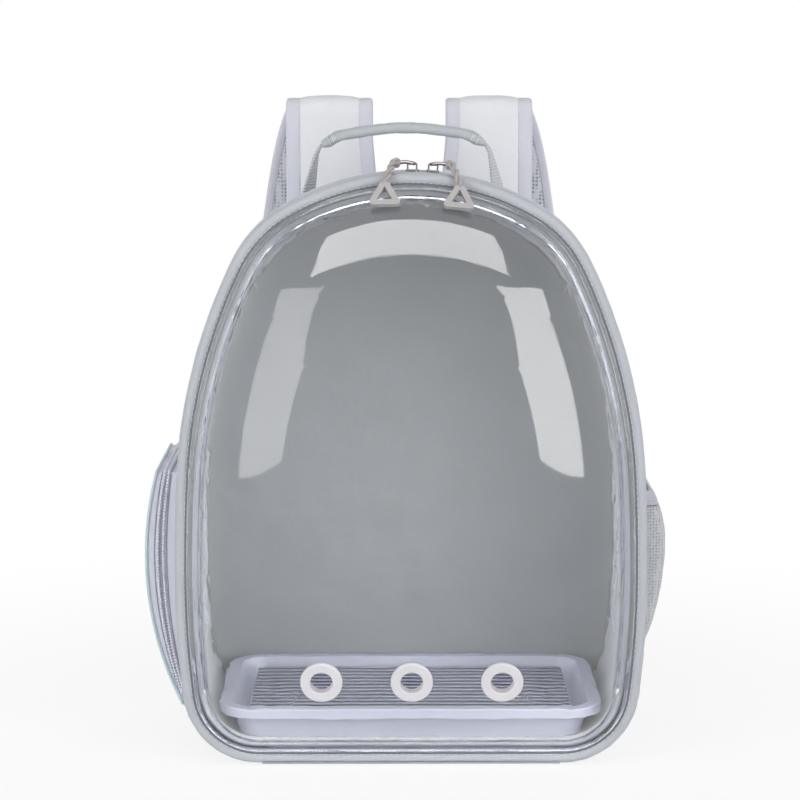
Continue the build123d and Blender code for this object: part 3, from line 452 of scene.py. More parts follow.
class Shader(Graph):
    """A material built round its Principled shader."""

    def __init__(self, name):
        self.material = bpy.data.materials.new(name)
        self.material.use_nodes = True
        super().__init__(self.material.node_tree)
        self.bsdf = self.tree.nodes["Principled BSDF"]
        self.out = self.tree.nodes["Material Output"]
        self.coords = self.node("ShaderNodeTexCoord").outputs["Object"]

    def noise(self, size, detail=3.0, rough=0.5):
        n = self.node("ShaderNodeTexNoise")
        n.inputs["Scale"].default_value = 1000.0 / size
        n.inputs["Detail"].default_value = detail
        n.inputs["Roughness"].default_value = rough
        self.link(self.coords, n.inputs["Vector"])
        return n.outputs["Fac"]

    def mix(self, fac, a, b):
        n = self.node("ShaderNodeMix", data_type="RGBA")
        self.link(fac, n.inputs["Factor"])
        for socket, v in ((n.inputs[6], a), (n.inputs[7], b)):
            if isinstance(v, tuple):
                socket.default_value = v
            else:
                self.link(v, socket)
        return n.outputs[2]

    def axes(self):
        n = self.node("ShaderNodeSeparateXYZ")
        self.link(self.coords, n.inputs[0])
        return n.outputs

    def wave(self, a, pitch):
        return self.math("SINE", self.math("MULTIPLY", a, 2000 * math.pi / pitch))

    def colour(self, value):
        self.link(value, self.bsdf.inputs["Base Color"])

    def roughness(self, size, low, high):
        self.link(self.ramp(self.noise(size), (low, high)), self.bsdf.inputs["Roughness"])

    def bump(self, height, strength, distance):
        n = self.node("ShaderNodeBump")
        n.inputs["Strength"].default_value = strength
        n.inputs["Distance"].default_value = distance * MM
        self.link(height, n.inputs["Height"])
        self.link(n.outputs[0], self.bsdf.inputs["Normal"])

    def set(self, **values):
        for k, v in values.items():
            self.bsdf.inputs[k.replace("_", " ")].default_value = v


def fabric(name, colour, pitch=1.3, depth=0.12, rough=0.8, sheen=0.15, vary=0.08,
           folds=0.0, fold_size=40, ribs=None, dye=0.22):
    """Woven cloth: crossed threads, or ribs along an axis, uneven colour and soft folds."""
    s = Shader(name)
    x, y, z = s.axes()
    if ribs is None:
        a = s.math("ADD", x, y)
        b = s.math("ADD", z, s.math("MULTIPLY", s.math("SUBTRACT", x, y), 0.5))
        threads = s.math("MULTIPLY", s.wave(a, pitch), s.wave(b, pitch))
    else:
        threads = s.wave({"x": x, "y": y, "z": z}[ribs], pitch)
    uneven = s.noise(fold_size, 4.0, 0.6)
    fine = s.noise(2.5, 2.0)
    base = s.mix(uneven, shade(colour, 1 - vary), shade(colour, 1 + vary))
    weave = s.math("ADD", s.math("MULTIPLY", threads, 0.5), 0.5)
    s.colour(s.mix(s.math("MULTIPLY", weave, dye), base, shade(colour, 0.72)))
    height = s.math("ADD", s.math("MULTIPLY", threads, depth), s.math("MULTIPLY", fine, depth))
    if folds:
        height = s.math("ADD", height, s.math("MULTIPLY", uneven, folds))
    s.bump(height, 0.8, 1.0)
    s.set(Roughness=rough, Sheen_Weight=sheen, Sheen_Roughness=0.5)
    return s.material


def net(name, colour, pitch=2.6, hole_shade=0.45, depth=0.3):
    """Spacer mesh: rows of small round cells, with painted shade inside them where the holes are.
    """
    s = Shader(name)
    cells = s.node("ShaderNodeTexVoronoi")
    cells.inputs["Scale"].default_value = 1000.0 / pitch
    cells.inputs["Randomness"].default_value = 0.25
    s.link(s.coords, cells.inputs["Vector"])
    wall = s.ramp(cells.outputs["Distance"], given=(0.18, 0.5))
    base = s.mix(s.noise(45), shade(colour, 0.94), shade(colour, 1.05))
    # painted shade: the cells' insides are darker, standing for the shade seen in the holes
    s.colour(s.mix(wall, shade(colour, hole_shade), base))
    s.bump(wall, 0.7, depth)
    s.set(Roughness=0.85, Sheen_Weight=0.1)
    return s.material


def plastic(name, colour, rough=0.35, grain=0.02, vary=0.03, coat=0.0):
    """Moulded plastic with a fine grain."""
    s = Shader(name)
    s.colour(s.mix(s.noise(30, 4.0), shade(colour, 1 - vary), shade(colour, 1 + vary)))
    s.roughness(12, rough * 0.85, min(1.0, rough * 1.2))
    s.bump(s.noise(1.2, 2.0), 0.3, grain)
    s.set(Coat_Weight=coat)
    return s.material


def metal(name, colour, rough=0.25, grain=0.01):
    """Plated metal, rubbed unevenly."""
    s = Shader(name)
    s.colour(s.mix(s.noise(8, 4.0), shade(colour, 0.9), shade(colour, 1.08)))
    s.roughness(5, rough * 0.7, rough * 1.4)
    s.bump(s.noise(0.8, 2.0), 0.25, grain)
    s.set(Metallic=1.0)
    return s.material


def clear(name, colour, rough=0.03):
    """Clear moulded sheet that lets the lamps' light through, as the real one does."""
    s = Shader(name)
    s.roughness(40, rough * 0.6, rough * 1.6)
    # the sheet is true at its face, and wavy where it was drawn down to the flange (y in metres)
    drawn = s.ramp(s.axes()[1], to=(0.02, 1.0), given=(-0.134, -0.096), smooth=True)
    s.bump(s.math("MULTIPLY", s.noise(26, 2.0), drawn), 0.4, 1.1)
    s.set(Base_Color=colour, Transmission_Weight=1.0, IOR=1.45)
    ray = s.node("ShaderNodeLightPath")
    sheer = s.node("ShaderNodeBsdfTransparent")
    sheer.inputs["Color"].default_value = (0.93, 0.94, 0.95, 1)
    shown = s.blend(ray.outputs["Is Shadow Ray"], s.bsdf.outputs[0], sheer.outputs[0])
    s.link(shown, s.out.inputs["Surface"])
    return s.material


smooth_lining = {"pitch": 1.0, "depth": 0.06, "rough": 0.5, "sheen": 0.1, "fold_size": 30}
shell_cloth = fabric("shell_cloth", rgb(202, 206, 214), folds=0.9, fold_size=38)
lining_cloth = fabric("lining_cloth", rgb(186, 189, 195), folds=2.4, **smooth_lining)
# the same lining cloth, painted darker as the shade on the bag's inner back wall
lining_in_shade = fabric("lining_in_shade", rgb(136, 138, 140), folds=1.1, **smooth_lining)
piping_cloth = fabric("piping_cloth", rgb(186, 190, 196), pitch=1.1, depth=0.1, vary=0.05)
tape_cloth = fabric("tape_cloth", rgb(190, 192, 203), pitch=1.2, depth=0.1)
coil_nylon = plastic("coil_nylon", rgb(222, 223, 233), 0.45)
bottom_cloth = fabric("bottom_cloth", rgb(216, 218, 226), pitch=1.4, depth=0.14, folds=0.4)
hatch_cloth = fabric("hatch_cloth", rgb(222, 223, 236), pitch=1.1, depth=0.1, folds=0.4)
hatch_edge = fabric("hatch_edge", rgb(206, 222, 226), pitch=1.0, depth=0.08, vary=0.04)
back_cloth = fabric("back_cloth", rgb(172, 176, 184), pitch=1.5, depth=0.14, folds=0.4)
# the nets' darker cells are painted shade in their holes
pad_mesh = net("pad_mesh", rgb(182, 187, 197), pitch=3.0)
window_net = net("window_net", rgb(190, 194, 198), pitch=2.2, hole_shade=0.55)
pouch_net = net("pouch_net", rgb(190, 192, 197), pitch=2.2, hole_shade=0.6, depth=0.2)
elastic_cloth = fabric("elastic_cloth", rgb(198, 200, 212), pitch=1.4, ribs="z", depth=0.25)
strap_cloth = fabric("strap_cloth", rgb(233, 234, 238), pitch=1.2, depth=0.1, vary=0.03, folds=0.3)
strap_mesh = net("strap_mesh", rgb(206, 208, 216), pitch=2.8, hole_shade=0.4)
strap_edge = fabric("strap_edge", rgb(216, 217, 228), pitch=1.1, depth=0.12)
webbing_z = fabric("webbing_z", rgb(206, 209, 216), pitch=2.2, depth=0.35, ribs="z", dye=0.75)
grip_cloth = fabric(
    "grip_cloth", rgb(186, 192, 195), pitch=1.1, depth=0.1, folds=0.3, fold_size=18,
)
thread = fabric("thread", rgb(222, 225, 231), pitch=0.8, depth=0.1, vary=0.05)
seam_cord = fabric("seam_cord", rgb(162, 164, 177), pitch=0.9, depth=0.12)
# dark cloth for the cord that is painted shade of the door's edge groove
groove_shade_cloth = fabric("groove_shade_cloth", rgb(118, 121, 127), pitch=0.9, depth=0.12)
dome_clear = clear("dome_clear", (0.97, 0.98, 0.985, 1))
eyelet = plastic("eyelet", rgb(217, 215, 219), 0.4, coat=0.1)
tray_plastic = plastic("tray_plastic", rgb(177, 178, 193), 0.42, grain=0.04)
board_plastic = plastic("board_plastic", rgb(150, 153, 158), 0.55, grain=0.06)
buckle_plastic = plastic("buckle_plastic", rgb(196, 198, 205), 0.4, grain=0.04)
tab_plastic = plastic("tab_plastic", rgb(152, 148, 148), 0.5, grain=0.05)
grate_metal = metal("grate_metal", rgb(130, 132, 143), 0.5)
slider_metal = metal("slider_metal", rgb(128, 125, 125), 0.26)
cord_cloth = fabric("cord_cloth", rgb(184, 177, 176), pitch=0.7, depth=0.15)

# ---- rigid CAD nodes ----------------------------------------------------------------------------
dress(dome_clear, "dome")
dress(eyelet, *[f"vent_{k}_{s}" for k in ("ring", "washer") for s in ("left", "middle", "right")])
dress(slider_metal, "slider_left", "slider_right", "hatch_slider", "hatch_pull", "door_wire")
dress(tab_plastic, "pull_tab_left", "pull_tab_right")
dress(tray_plastic, "tray")
dress(board_plastic, "base_board")
dress(grate_metal, "grate", "grate_bar_left", "grate_bar_middle", "grate_bar_right")
dress(buckle_plastic, "ladder_lock_left", "ladder_lock_right")


# ---- bag shell ----------------------------------------------------------------------------------
WINDOW = (-42, 50, 66, 182, 16, 6)    # y range, z range, corner radius and steps of a corner
SHELL_STEPS = 40


def shell_section():
    """The wall as (inset, y): a slightly puffed outside, rolled edges and a plain inside."""
    front, rear = FRONT_Y + 1.2, REAR_Y - 0.8
    shares = [i / SHELL_STEPS for i in range(1, SHELL_STEPS)]
    outer = [(0.9, -61.9), (0.3, -61.5), (0.0, front)]
    outer += [(-0.9 * math.sin(math.pi * t) ** 0.5, front + (rear - front) * t) for t in shares]
    outer += [(0.0, rear), (0.4, 87.8), (1.0, 88.0), (4.4, 88.0), (WALL, 87.0)]
    inner = [(WALL, 87.0 - 148.0 * t) for t in shares]
    return outer + inner + [(WALL, -61.2), (4.5, -61.8)]


def shell_amount(p):
    """How far the folds go: less at the edges, and more low down inside."""
    inside = abs(p.x) < side_x(min(max(p.z, 1), SIDE_TOP), p.y) - 3.5 and p.z > 3.5
    edge = clamp((p.y - FRONT_Y) / 14) * clamp((REAR_Y - p.y) / 14)
    low = 1.0 + 2.2 * max(0.0, 1 - p.z / 130) if inside else 1.0
    # the outside is flatter on the left, where the hatch's pull hangs close to it
    outside = 1.3 - 0.4 * clamp((-p.x - 100) / 30)
    return (1.5 if inside else outside) * edge * low


def window_cut(side):
    """Rounded prism through a side wall."""
    return rod([[(side * x, y, z) for y, z in oblong(*WINDOW)] for x in (120, 200)])


def window_line(side, inset):
    return [Vector((side * (side_x(z, y) - inset), y, z)) for y, z in oblong(*WINDOW)]


bag = piece("bag_shell", around(shell_section(), 4.0), shell_cloth, None)
rumple(bag, shell_amount, 46, stretch=(1.0, 0.55, 1.0))
for _, side in SIDES:
    cutter = piece("cutter", window_cut(side), shell_cloth, "carrier", smooth=False)
    cut = bag.modifiers.new("cut", "BOOLEAN")
    cut.operation = "DIFFERENCE"
    cut.solver = "EXACT"
    cut.object = cutter
    bake(bag)
    bpy.data.objects.remove(cutter)
LINING, BOTTOM = 1, 2           # material slots
bag.data.materials.append(lining_cloth)
bag.data.materials.append(bottom_cloth)
for f in bag.data.polygons:
    c = f.center * 1000
    within = abs(c.x) < side_x(min(max(c.z, 1), SIDE_TOP), c.y) - 2.6 and c.z > 2.6
    if within and not (c.z > SIDE_TOP and f.normal.z > 0.2):
        f.material_index = LINING
    elif c.z < 40:
        f.material_index = BOTTOM
shell_nodes = ["gusset_crown", "gusset_left", "gusset_right", "bottom_panel"]
settle(bag, "carrier", shell_nodes)


def foot_lip():
    """The bottom's front edge, round both corners, under the door."""
    columns = []
    for inset, y in oblong(0.0, WALL, -83.4, -61.6, 1.0):
        ring = spokes(FRONT_Y, 4.0)
        half = len(ring) // 2
        low = [s for s in ring[half:] + ring[:half] if at(s, 0, 0)[2] < 47.6]
        columns.append([at(s, inset, y) for s in low])
    return rod([list(row) for row in zip(*columns)])


def window_sheet(side):
    """Two skins of net behind the window's opening."""
    skins = []
    for inset in (2.4, 3.0):
        rows = [
            [(side * (side_x(z, y) - inset), y, z) for y in range(-46, 56, 3)]
            for z in range(60, 190, 3)
        ]
        skins.append(rows)
    return merge(grid(skins[0]), grid([list(reversed(row)) for row in skins[1]]))


piece("foot_lip", foot_lip(), bottom_cloth, "carrier")
for name, side in SIDES:
    edging = merge(*[tube(window_line(side, i), 2.4, 8, True) for i in (0.2, 4.8)])
    piece("window_edging_" + name, edging, tape_cloth, "carrier")
    piece(
        "window_net_" + name, window_sheet(side), window_net, "carrier",
        [name + "_window_mesh"],
    )

# two rows of thread on each side, where the side panel meets the crown panel
seam_lines = [
    [Vector((side * (side_x(z, y) + 0.9), y, z)) for y in range(-58, 86, 3)]
    for _, side in SIDES for z in (SHOULDER - 2.5, SHOULDER + 2.5)
]
piece("panel_stitches", stitches(seam_lines), thread, "carrier")

# ---- door edge, zip and hinge -------------------------------------------------------------------
DOOR_LOW, BODY_LOW = 48.6, 48.0    # heights where the door's and the bag's zip tapes end
EDGE_Y = -88.0                     # the door's bound edge


def taped(*strips, low):
    """Flat strips round the arch, each given as inset range, y range and edge radius."""
    return merge(*[around(oblong(*strip), 4.0, low) for strip in strips])


def zip_row(y, low):
    """Nylon coil: a rod whose thickness comes and goes once a tooth."""
    rows = []
    for i, s in enumerate(spokes(y, 0.42, low)):
        r = 0.5 + 0.36 * (0.5 + 0.5 * math.cos(2 * math.pi * i / 4))
        rows.append([at(s, ZIP_INSET + r * cosd(60 * q), y + r * sind(60 * q)) for q in range(6)])
    return rod(rows)


binding = piece(
    "edge_binding", around(circle(4.5, EDGE_Y, 3.55, 16), 3.0), piping_cloth, "door",
    ["door_binding"],
)
rumple(binding, 0.3, 8)
rumple(binding, 0.4, 55, seed=3.0)
inner_stitch = [vectors(at(s, 7.4, -90.3) for s in spokes(EDGE_Y, 2.0))]
piece("edge_stitches", stitches(inner_stitch, 2.6, 1.6, 0.35), thread, "door")
# a dark cord between the binding and the dome's flange: painted shade of the groove there
piece("groove_shade_cord", around(circle(8.35, -89.7, 0.75, 8), 3.0), groove_shade_cloth, "door")
band = piece(
    "door_strip", taped((0.6, 3.3, -87.4, -79.3, 0.8), low=DOOR_LOW), tape_cloth, "door",
    ["door_band"],
)
rumple(band, 0.2, 12)
door_tape = taped((1.2, 2.4, -79.3, -74.5, 0.3), (1.7, 2.3, -75.5, -72.2, 0.2), low=DOOR_LOW)
body_tape = taped((1.2, 2.4, -69.5, -61.9, 0.3), (1.7, 2.3, -71.8, -68.5, 0.2), low=BODY_LOW)
piece("door_tape", door_tape, tape_cloth, "door", ["door_zip_tape"])
piece("body_tape", body_tape, tape_cloth, "carrier", ["body_zip_tape"])
piece("door_teeth", zip_row(-73.6, DOOR_LOW), coil_nylon, "door", ["door_zip_coil"])
piece("body_teeth", zip_row(-70.4, BODY_LOW), coil_nylon, "carrier", ["body_zip_coil"])


def split_tube():
    """Bound fabric tube that holds the door's lower edge, with its tail under the bag."""
    half = CORNER_X - 2.0
    places = [-half + 2 * half * i / 60 for i in range(61)]
    section = [(EDGE_Y + 4.5 * cosd(a), 4.5 + 4.5 * sind(a)) for a in range(210, 425, 12)]
    section += [(EDGE_Y + 3.9 * cosd(a), 4.5 + 3.9 * sind(a)) for a in range(425, 209, -12)]
    tail = [(EDGE_Y, 0.02), (-69.2, 0.02), (-69.2, 0.72), (-84.6, 0.72)]
    return merge(*[rod([[(x, y, z) for y, z in line] for x in places]) for line in (section, tail)])


piece("hinge_binding", split_tube(), piping_cloth, "carrier", ["hinge_sleeve"])

# ---- pulls' cords -------------------------------------------------------------------------------
CROWN_Z = FRONT_APEX - FRONT_CROWN    # centre of the crown's arc


def crown_turn(points, angle):
    """Turn points made at the top round the crown's centre, clockwise from the front."""
    out = []
    for x, y, z in points:
        d = z - CROWN_Z
        turned = x * cosd(angle) + d * sind(angle), CROWN_Z - x * sind(angle) + d * cosd(angle)
        out.append(Vector((turned[0], y, turned[1])))
    return out


def twisted(path, radius, gap, turn):
    """Two strands that wind round each other once in `turn` points."""
    out = []
    for phase in (0, 180):
        strand = []
        for i, (p, (_, u, w)) in enumerate(zip(path, frames(path))):
            a = phase + 360 * i / turn
            strand.append(p + u * (gap * cosd(a)) + w * (gap * sind(a)))
        out.append(tube(strand, radius, 8))
    return merge(*out)


def pull_link(side, angle):
    """Wire link from the slider's bail forward to the cord, bent to clear the bail."""
    ring = []
    for k in range(28):
        u = squared(cosd(360 * k / 28), 0.6) * 6.6
        v = squared(sind(360 * k / 28), 0.7) * 2.9
        lift = 1.1 * sind(180 * (5 + u) / 12) - 0.06 * u
        ring.append((side * (5.0 + u), -75.6 + v - 0.10 * u, 424.9 + lift))
    return tube(crown_turn(ring, angle), 1.2, 8, True)


def pull_cord(side, angle):
    line = ((10.0, -77.5, 425.2), (12.6, -82.5, 425.6), (15.6, -92.4, 421.6), (19.0, -96.4, 412.2))
    path = rounded(crown_turn([(side * x, y, z) for x, y, z in line], angle), 5, 0.6)
    return twisted(path, 1.45, 1.25, 26)


def pull_knot(side, angle):
    """Three-lobed knot where the cord leaves the link."""
    knot = []
    for k in range(90):
        a = 2 * math.pi * k / 90
        q = (2 + math.cos(3 * a)) * 0.95
        x, y, z = 11.6 + q * math.cos(2 * a), -80.6 + 1.5 * math.sin(3 * a), q * math.sin(2 * a)
        knot.append((side * x, y, 425.6 + z * 0.9))
    return tube(crown_turn(knot, angle), 1.2, 8, True)


for (name, side), angle in zip(SIDES, (0.2, 4.8)):
    body = "pull_" + name
    piece("pull_link_" + name, pull_link(side, angle), slider_metal, body)
    piece(
        "pull_cord_" + name, pull_cord(side, angle), cord_cloth, body,
        ["pull_loop_" + name],
    )
    piece("pull_knot_" + name, pull_knot(side, angle), cord_cloth, body)

# ---- hatch --------------------------------------------------------------------------------------
HINGE_X, HINGE_Z = 158.554, 27.638    # the hatch's lower end, where it hinges
HATCH_MIDDLE, HATCH_TOP = 115, 205    # heights that its arc is taken through
HATCH_FRONT, HATCH_REAR = -58, 62     # y of its front and rear faces


def cover_amount(p):
    """Folds that fade out at the hatch's lower end and at its front and rear faces."""
    return 0.9 * clamp((p.z - 35) / 25) * clamp((58 - abs(p.y - 2)) / 6)


cover = soften("hatch_shell", ["hatch_cover"], 0.9, hatch_cloth, "hatch", relax=3)
rumple(cover, cover_amount, 30)
wall = soften(
    "hatch_wall", ["hatch_base_wall"], 0.8, hatch_cloth, "carrier", relax=2,
)
rumple(wall, 0.3, 20)
soften(
    "hatch_hem", ["hatch_hinge_tape"], 0.45, tape_cloth, "carrier",
    relax=1, swell=-0.3,
)


def arc3(a, b, c, n):
    """Even points on the circle through three points."""
    (x1, y1), (x2, y2), (x3, y3) = a, b, c
    q1, q2, q3 = x1**2 + y1**2, x2**2 + y2**2, x3**2 + y3**2
    d = 2 * (x1 * (y2 - y3) + x2 * (y3 - y1) + x3 * (y1 - y2))
    ux = (q1 * (y2 - y3) + q2 * (y3 - y1) + q3 * (y1 - y2)) / d
    uy = (q1 * (x3 - x2) + q2 * (x1 - x3) + q3 * (x2 - x1)) / d
    r = math.hypot(x1 - ux, y1 - uy)
    a0, a1 = math.atan2(y1 - uy, x1 - ux), math.atan2(y3 - uy, x3 - ux)
    angles = [a0 + (a1 - a0) * i / n for i in range(n + 1)]
    return [(ux + r * math.cos(a), uy + r * math.sin(a)) for a in angles]


def hatch_line(share, out):
    """Arc up the hatch: share 0 is at the bag's side, 1 at the hatch's outer face."""
    return arc3(
        (HINGE_X + (2 * share - 1) * 1.8 + out, HINGE_Z),
        (side_x(HATCH_MIDDLE) + 21.5 * share + out, HATCH_MIDDLE),
        (side_x(HATCH_TOP) + 16.5 * share + out, HATCH_TOP), 40,
    )


def hatch_loop(share, stand, first, out=0.0):
    """Path up the front of the hatch, over its top and down its rear, proud of the walls."""
    line = [(-x, z) for x, z in hatch_line(share, out)][first:]
    line[-1] = (line[-1][0], HATCH_TOP + stand)
    up = [Vector((x, HATCH_FRONT - stand, z)) for x, z in line]
    return up + [Vector((x, HATCH_REAR + stand, z)) for x, z in reversed(line)]


def tooth(i):
    return 1.05 + 0.6 * math.cos(math.pi * i / 2)


TEETH = (("hatch_teeth_outer", 0.59, "hatch"), ("hatch_teeth_inner", 0.41, "carrier"))
SEAMS = (("hatch_stitches", 0.70, "hatch"), ("hatch_wall_stitches", 0.30, "carrier"))
for name, share, body in TEETH:
    path = even(hatch_loop(share, 0.35, 4), 0.55)
    piece(name, tube(path, tooth, 8), coil_nylon, body)
    for k, off in enumerate((-0.105, 0.105)):
        line = even(hatch_loop(share + off, 0.05, 4), 2.0)
        piece(name + "_cord_" + str(k), tube(line, 0.5, 6), seam_cord, body)
edge_path = even(hatch_loop(0.97, 0.1, 2, -0.4), 2.0)
piece("hatch_piping", tube(edge_path, 1.2, 8), hatch_edge, "hatch")
for name, share, body in SEAMS:
    piece(name, stitches([hatch_loop(share, 0.1, 6)], 2.6, 1.6, 0.32), thread, body)

# ---- pouch --------------------------------------------------------------------------------------
POUCH_Y, POUCH_HALF = 4, 54       # middle and half of its width
POUCH_LOW, POUCH_MIDDLE, POUCH_TOP = 72, 136, 190    # heights that its arc is taken through
SIDE_LIMIT = 204                  # it follows the bag's width up to this height
SQUARE = 0.34                     # how squarely its ends turn in to the bag


def pouch_depth(z):
    """How far the pouch stands off the side at a height."""
    line = arc3(
        (side_x(POUCH_LOW) + 1.5, POUCH_LOW),
        (side_x(POUCH_MIDDLE) + 17.5, POUCH_MIDDLE),
        (side_x(POUCH_TOP) + 10.5, POUCH_TOP), 60,
    )
    for (x0, z0), (x1, z1) in zip(line, line[1:]):
        if z0 <= z <= z1 or (z > POUCH_TOP - 0.1 and z1 > POUCH_TOP - 0.1):
            return x0 + (x1 - x0) * (z - z0) / (z1 - z0) - side_x(min(z, SIDE_LIMIT))
    return 1.5


def pouch_row(z, skin, gather):
    """One level of the pouch; gather is the depth of the elastic's small folds."""
    n = 120
    drawn = 3.2 * clamp((z - 168) / 20) ** 1.5    # the elastic draws the mouth in
    d = pouch_depth(z) - skin - drawn
    row = []
    for i in range(n + 1):
        w = -1 + 2 * i / n
        a = math.pi * (1 - (w + 1) / 2)
        y = POUCH_Y + (POUCH_HALF - skin) * squared(math.cos(a), SQUARE)
        x = d * abs(math.sin(a)) ** SQUARE
        x += gather * math.sin(w * 62) * min(1, x / 6)
        row.append((side_x(min(z, SIDE_LIMIT)) - 0.4 + max(x, 0) * (d + 0.4) / max(d, 0.1), y, z))
    return row


def pouch_hem():
    rows = []
    for skin, bottom, step in ((0.0, 179.2, 0.6), (2.2, 189.6, -0.6)):
        for z in [bottom + step * k for k in range(18)]:
            puff = 0.8 * (1 - ((z - 184.4) / 5.4) ** 2)
            rows.append(pouch_row(z, skin - puff, 0.5))
    return grid(rows, True)


levels = [72.2 + 2.8 * k for k in range(39)]
pouch = grid([pouch_row(z, 0.0, 0.55 * max(0, (z - 130) / 50) ** 2) for z in levels])
net_bag = piece("pouch_bag", pouch, pouch_net, None)
thicken = net_bag.modifiers.new("thicken", "SOLIDIFY")
thicken.thickness = 1.1 * MM
thicken.offset = -1
bake(net_bag)
rumple(net_bag, lambda p: 0.9 * clamp((p.z - 76) / 20), 34)
settle(net_bag, "carrier", ["pouch_mesh"])
piece("pouch_elastic", pouch_hem(), elastic_cloth, "carrier", ["pouch_hem"])

# ---- floor pad ----------------------------------------------------------------------------------
pad = soften("floor_cushion", ["floor_pad"], 1.6, lining_cloth, "carrier", relax=6)
rumple(pad, 0.25, 30)

# ---- back ---------------------------------------------------------------------------------------
back = soften("back_sheet", ["back_panel"], 2.4, back_cloth, "carrier", relax=2)
rumple(back, lambda p: 1.1 * clamp((166 - abs(p.x)) / 20) if p.y < 85.5 else 0.5, 52)
# the back's inner face gets the lining with painted shade
back.data.materials.append(lining_in_shade)
for f in back.data.polygons:
    if f.normal.y < -0.3:
        f.material_index = LINING
rear = piece(
    "rear_cord", around(circle(3.0, 91.0, 2.9, 12), 3.0), piping_cloth, "carrier",
    ["rear_piping"],
)
rumple(rear, 0.2, 8)
for name in ("back_pad_left", "back_pad_right", "lumbar_pad"):
    o = soften(name + "_soft", [name], 1.9, pad_mesh, "carrier", relax=10, swell=0.5)
    rumple(o, lambda p: 0.9 if p.y > 90 else 0.0, 26)
yoke = soften("yoke_soft", ["strap_yoke"], 1.4, back_cloth, "carrier", relax=3)
yoke_lines = [[Vector((x, 94.7, z)) for x in range(-96, 97, 4)] for z in (353.5, 382.5)]
piece("yoke_stitches", stitches(yoke_lines), thread, "carrier")

# ---- shoulder straps ----------------------------------------------------------------------------
STRAP_X, STRAP_Y = 60.5, 98.8     # where a strap rises from the yoke
FOLD_RADIUS = 9
RISE = 96                         # from the yoke up to the fold at the top
HANG = RISE + math.pi * FOLD_RADIUS    # length of strap before it hangs down behind
STRAP_HALF, TAPER, FLARE = 33.0, 9.0, 4.2    # half width, loss at the lower end, gain at the yoke
HEM_HALF = 6.2
# the hanging part goes through these points, and leaves the first one along STRAP_START
STRAP_POINTS = (
    (61.5, 116.8, 452.5), (87.5, 127.8, 345), (109.5, 138.8, 236.5), (120.5, 126.8, 128),
)
STRAP_START = (44, 0, -104)


def strap_path():
    """Up from the yoke, over the fold, and down behind on a smooth curve."""
    path = [Vector((STRAP_X, STRAP_Y, z)) for z in range(357, 453, 4)]
    for a in range(0, 181, 12):
        y = STRAP_Y + FOLD_RADIUS - FOLD_RADIUS * cosd(a)
        path.append(Vector((STRAP_X, y, 453.5 + FOLD_RADIUS * sind(a))))
    key = vectors(STRAP_POINTS)
    end = Vector((0, -0.3, -1)).normalized() * 110
    tan = [Vector(STRAP_START), (key[2] - key[0]) / 2, (key[3] - key[1]) / 2, end]
    for i in range(3):
        for t in [k / 28 for k in range(1, 29)]:
            path.append(
                key[i] * (2 * t**3 - 3 * t**2 + 1) + tan[i] * (t**3 - 2 * t**2 + t)
                + key[i + 1] * (-2 * t**3 + 3 * t**2) + tan[i + 1] * (t**3 - t**2)
            )
    return even(path, 3.0)


def strap_lines():
    """The strap's path, with the direction across it and its half width and hem at each point."""
    path = strap_path()
    across, widths, hems = [], [], []
    run = 0.0
    for i, p in enumerate(path):
        t = heading(path, i)
        if i:
            run += (p - path[i - 1]).length
        if run < HANG:
            spread = FLARE * max(0.0, 1 - run / RISE)
            across.append(Vector((1, 0, 0)))
            widths.append(STRAP_HALF + spread)
            hems.append(HEM_HALF)
            p.x -= spread
        else:
            square = t.cross(Vector((0, 1, 0))).normalized()
            turned = Vector((1, 0, 0)).lerp(square, clamp((run - HANG) / 60))
            across.append(turned.normalized())
            widths.append(STRAP_HALF - TAPER * clamp((run - HANG) / 345))
            hems.append(HEM_HALF - 2.6 * clamp((run - HANG) / 40))
    return path, across, widths, hems


def strap_body(mirror):
    """Rows of the padded face, of its lower side and of both hems, and four lines of thread."""
    path, across, widths, hems = strap_lines()
    top, low, hem_a, hem_b, threads = [], [], [], [], [[], [], [], []]
    for i, (p, a, w, hem_half) in enumerate(zip(path, across, widths, hems)):
        h = a.cross(heading(path, i)).normalized()
        end = 0.55 + 0.45 * min(1.0, from_end(path, i) / 3.0)
        row_top, row_low = [], []
        for u in [-1 + k / 12 for k in range(25)]:
            thick = (1.5 + 2.8 * (1 - abs(u) ** 3.6)) * end
            ripple = 0.35 * noise.noise(Vector((p.x, p.y, p.z)) / 22 + Vector((u * 2, 0, mirror)))
            face = u * (w - 2 * hem_half + 3)
            row_top.append(p + a * face + h * (thick + ripple))
            row_low.append(p + a * face - h * (thick + ripple))
        top.append(row_top)
        low.append(list(reversed(row_low)))
        for side, rows in ((-1, hem_a), (1, hem_b)):
            edge = []
            for q in range(16):
                c, s = squared(cosd(22.5 * q), 0.55), squared(sind(22.5 * q), 0.75)
                edge.append(p + a * (side * (w - hem_half) + hem_half * c) + h * (2.5 * end * s))
            rows.append(edge)
        sewn = w - 1.6 * hem_half
        for line, (u, face) in zip(threads, ((sewn, 1), (-sewn, 1), (sewn, -1), (-sewn, -1))):
            line.append(p + a * u + h * (face * (2.45 * end)))

    def placed(rows):
        return [[Vector((mirror * v.x, v.y, v.z)) for v in row] for row in rows]
    return [placed(rows) for rows in (top, low, hem_a, hem_b, threads)]


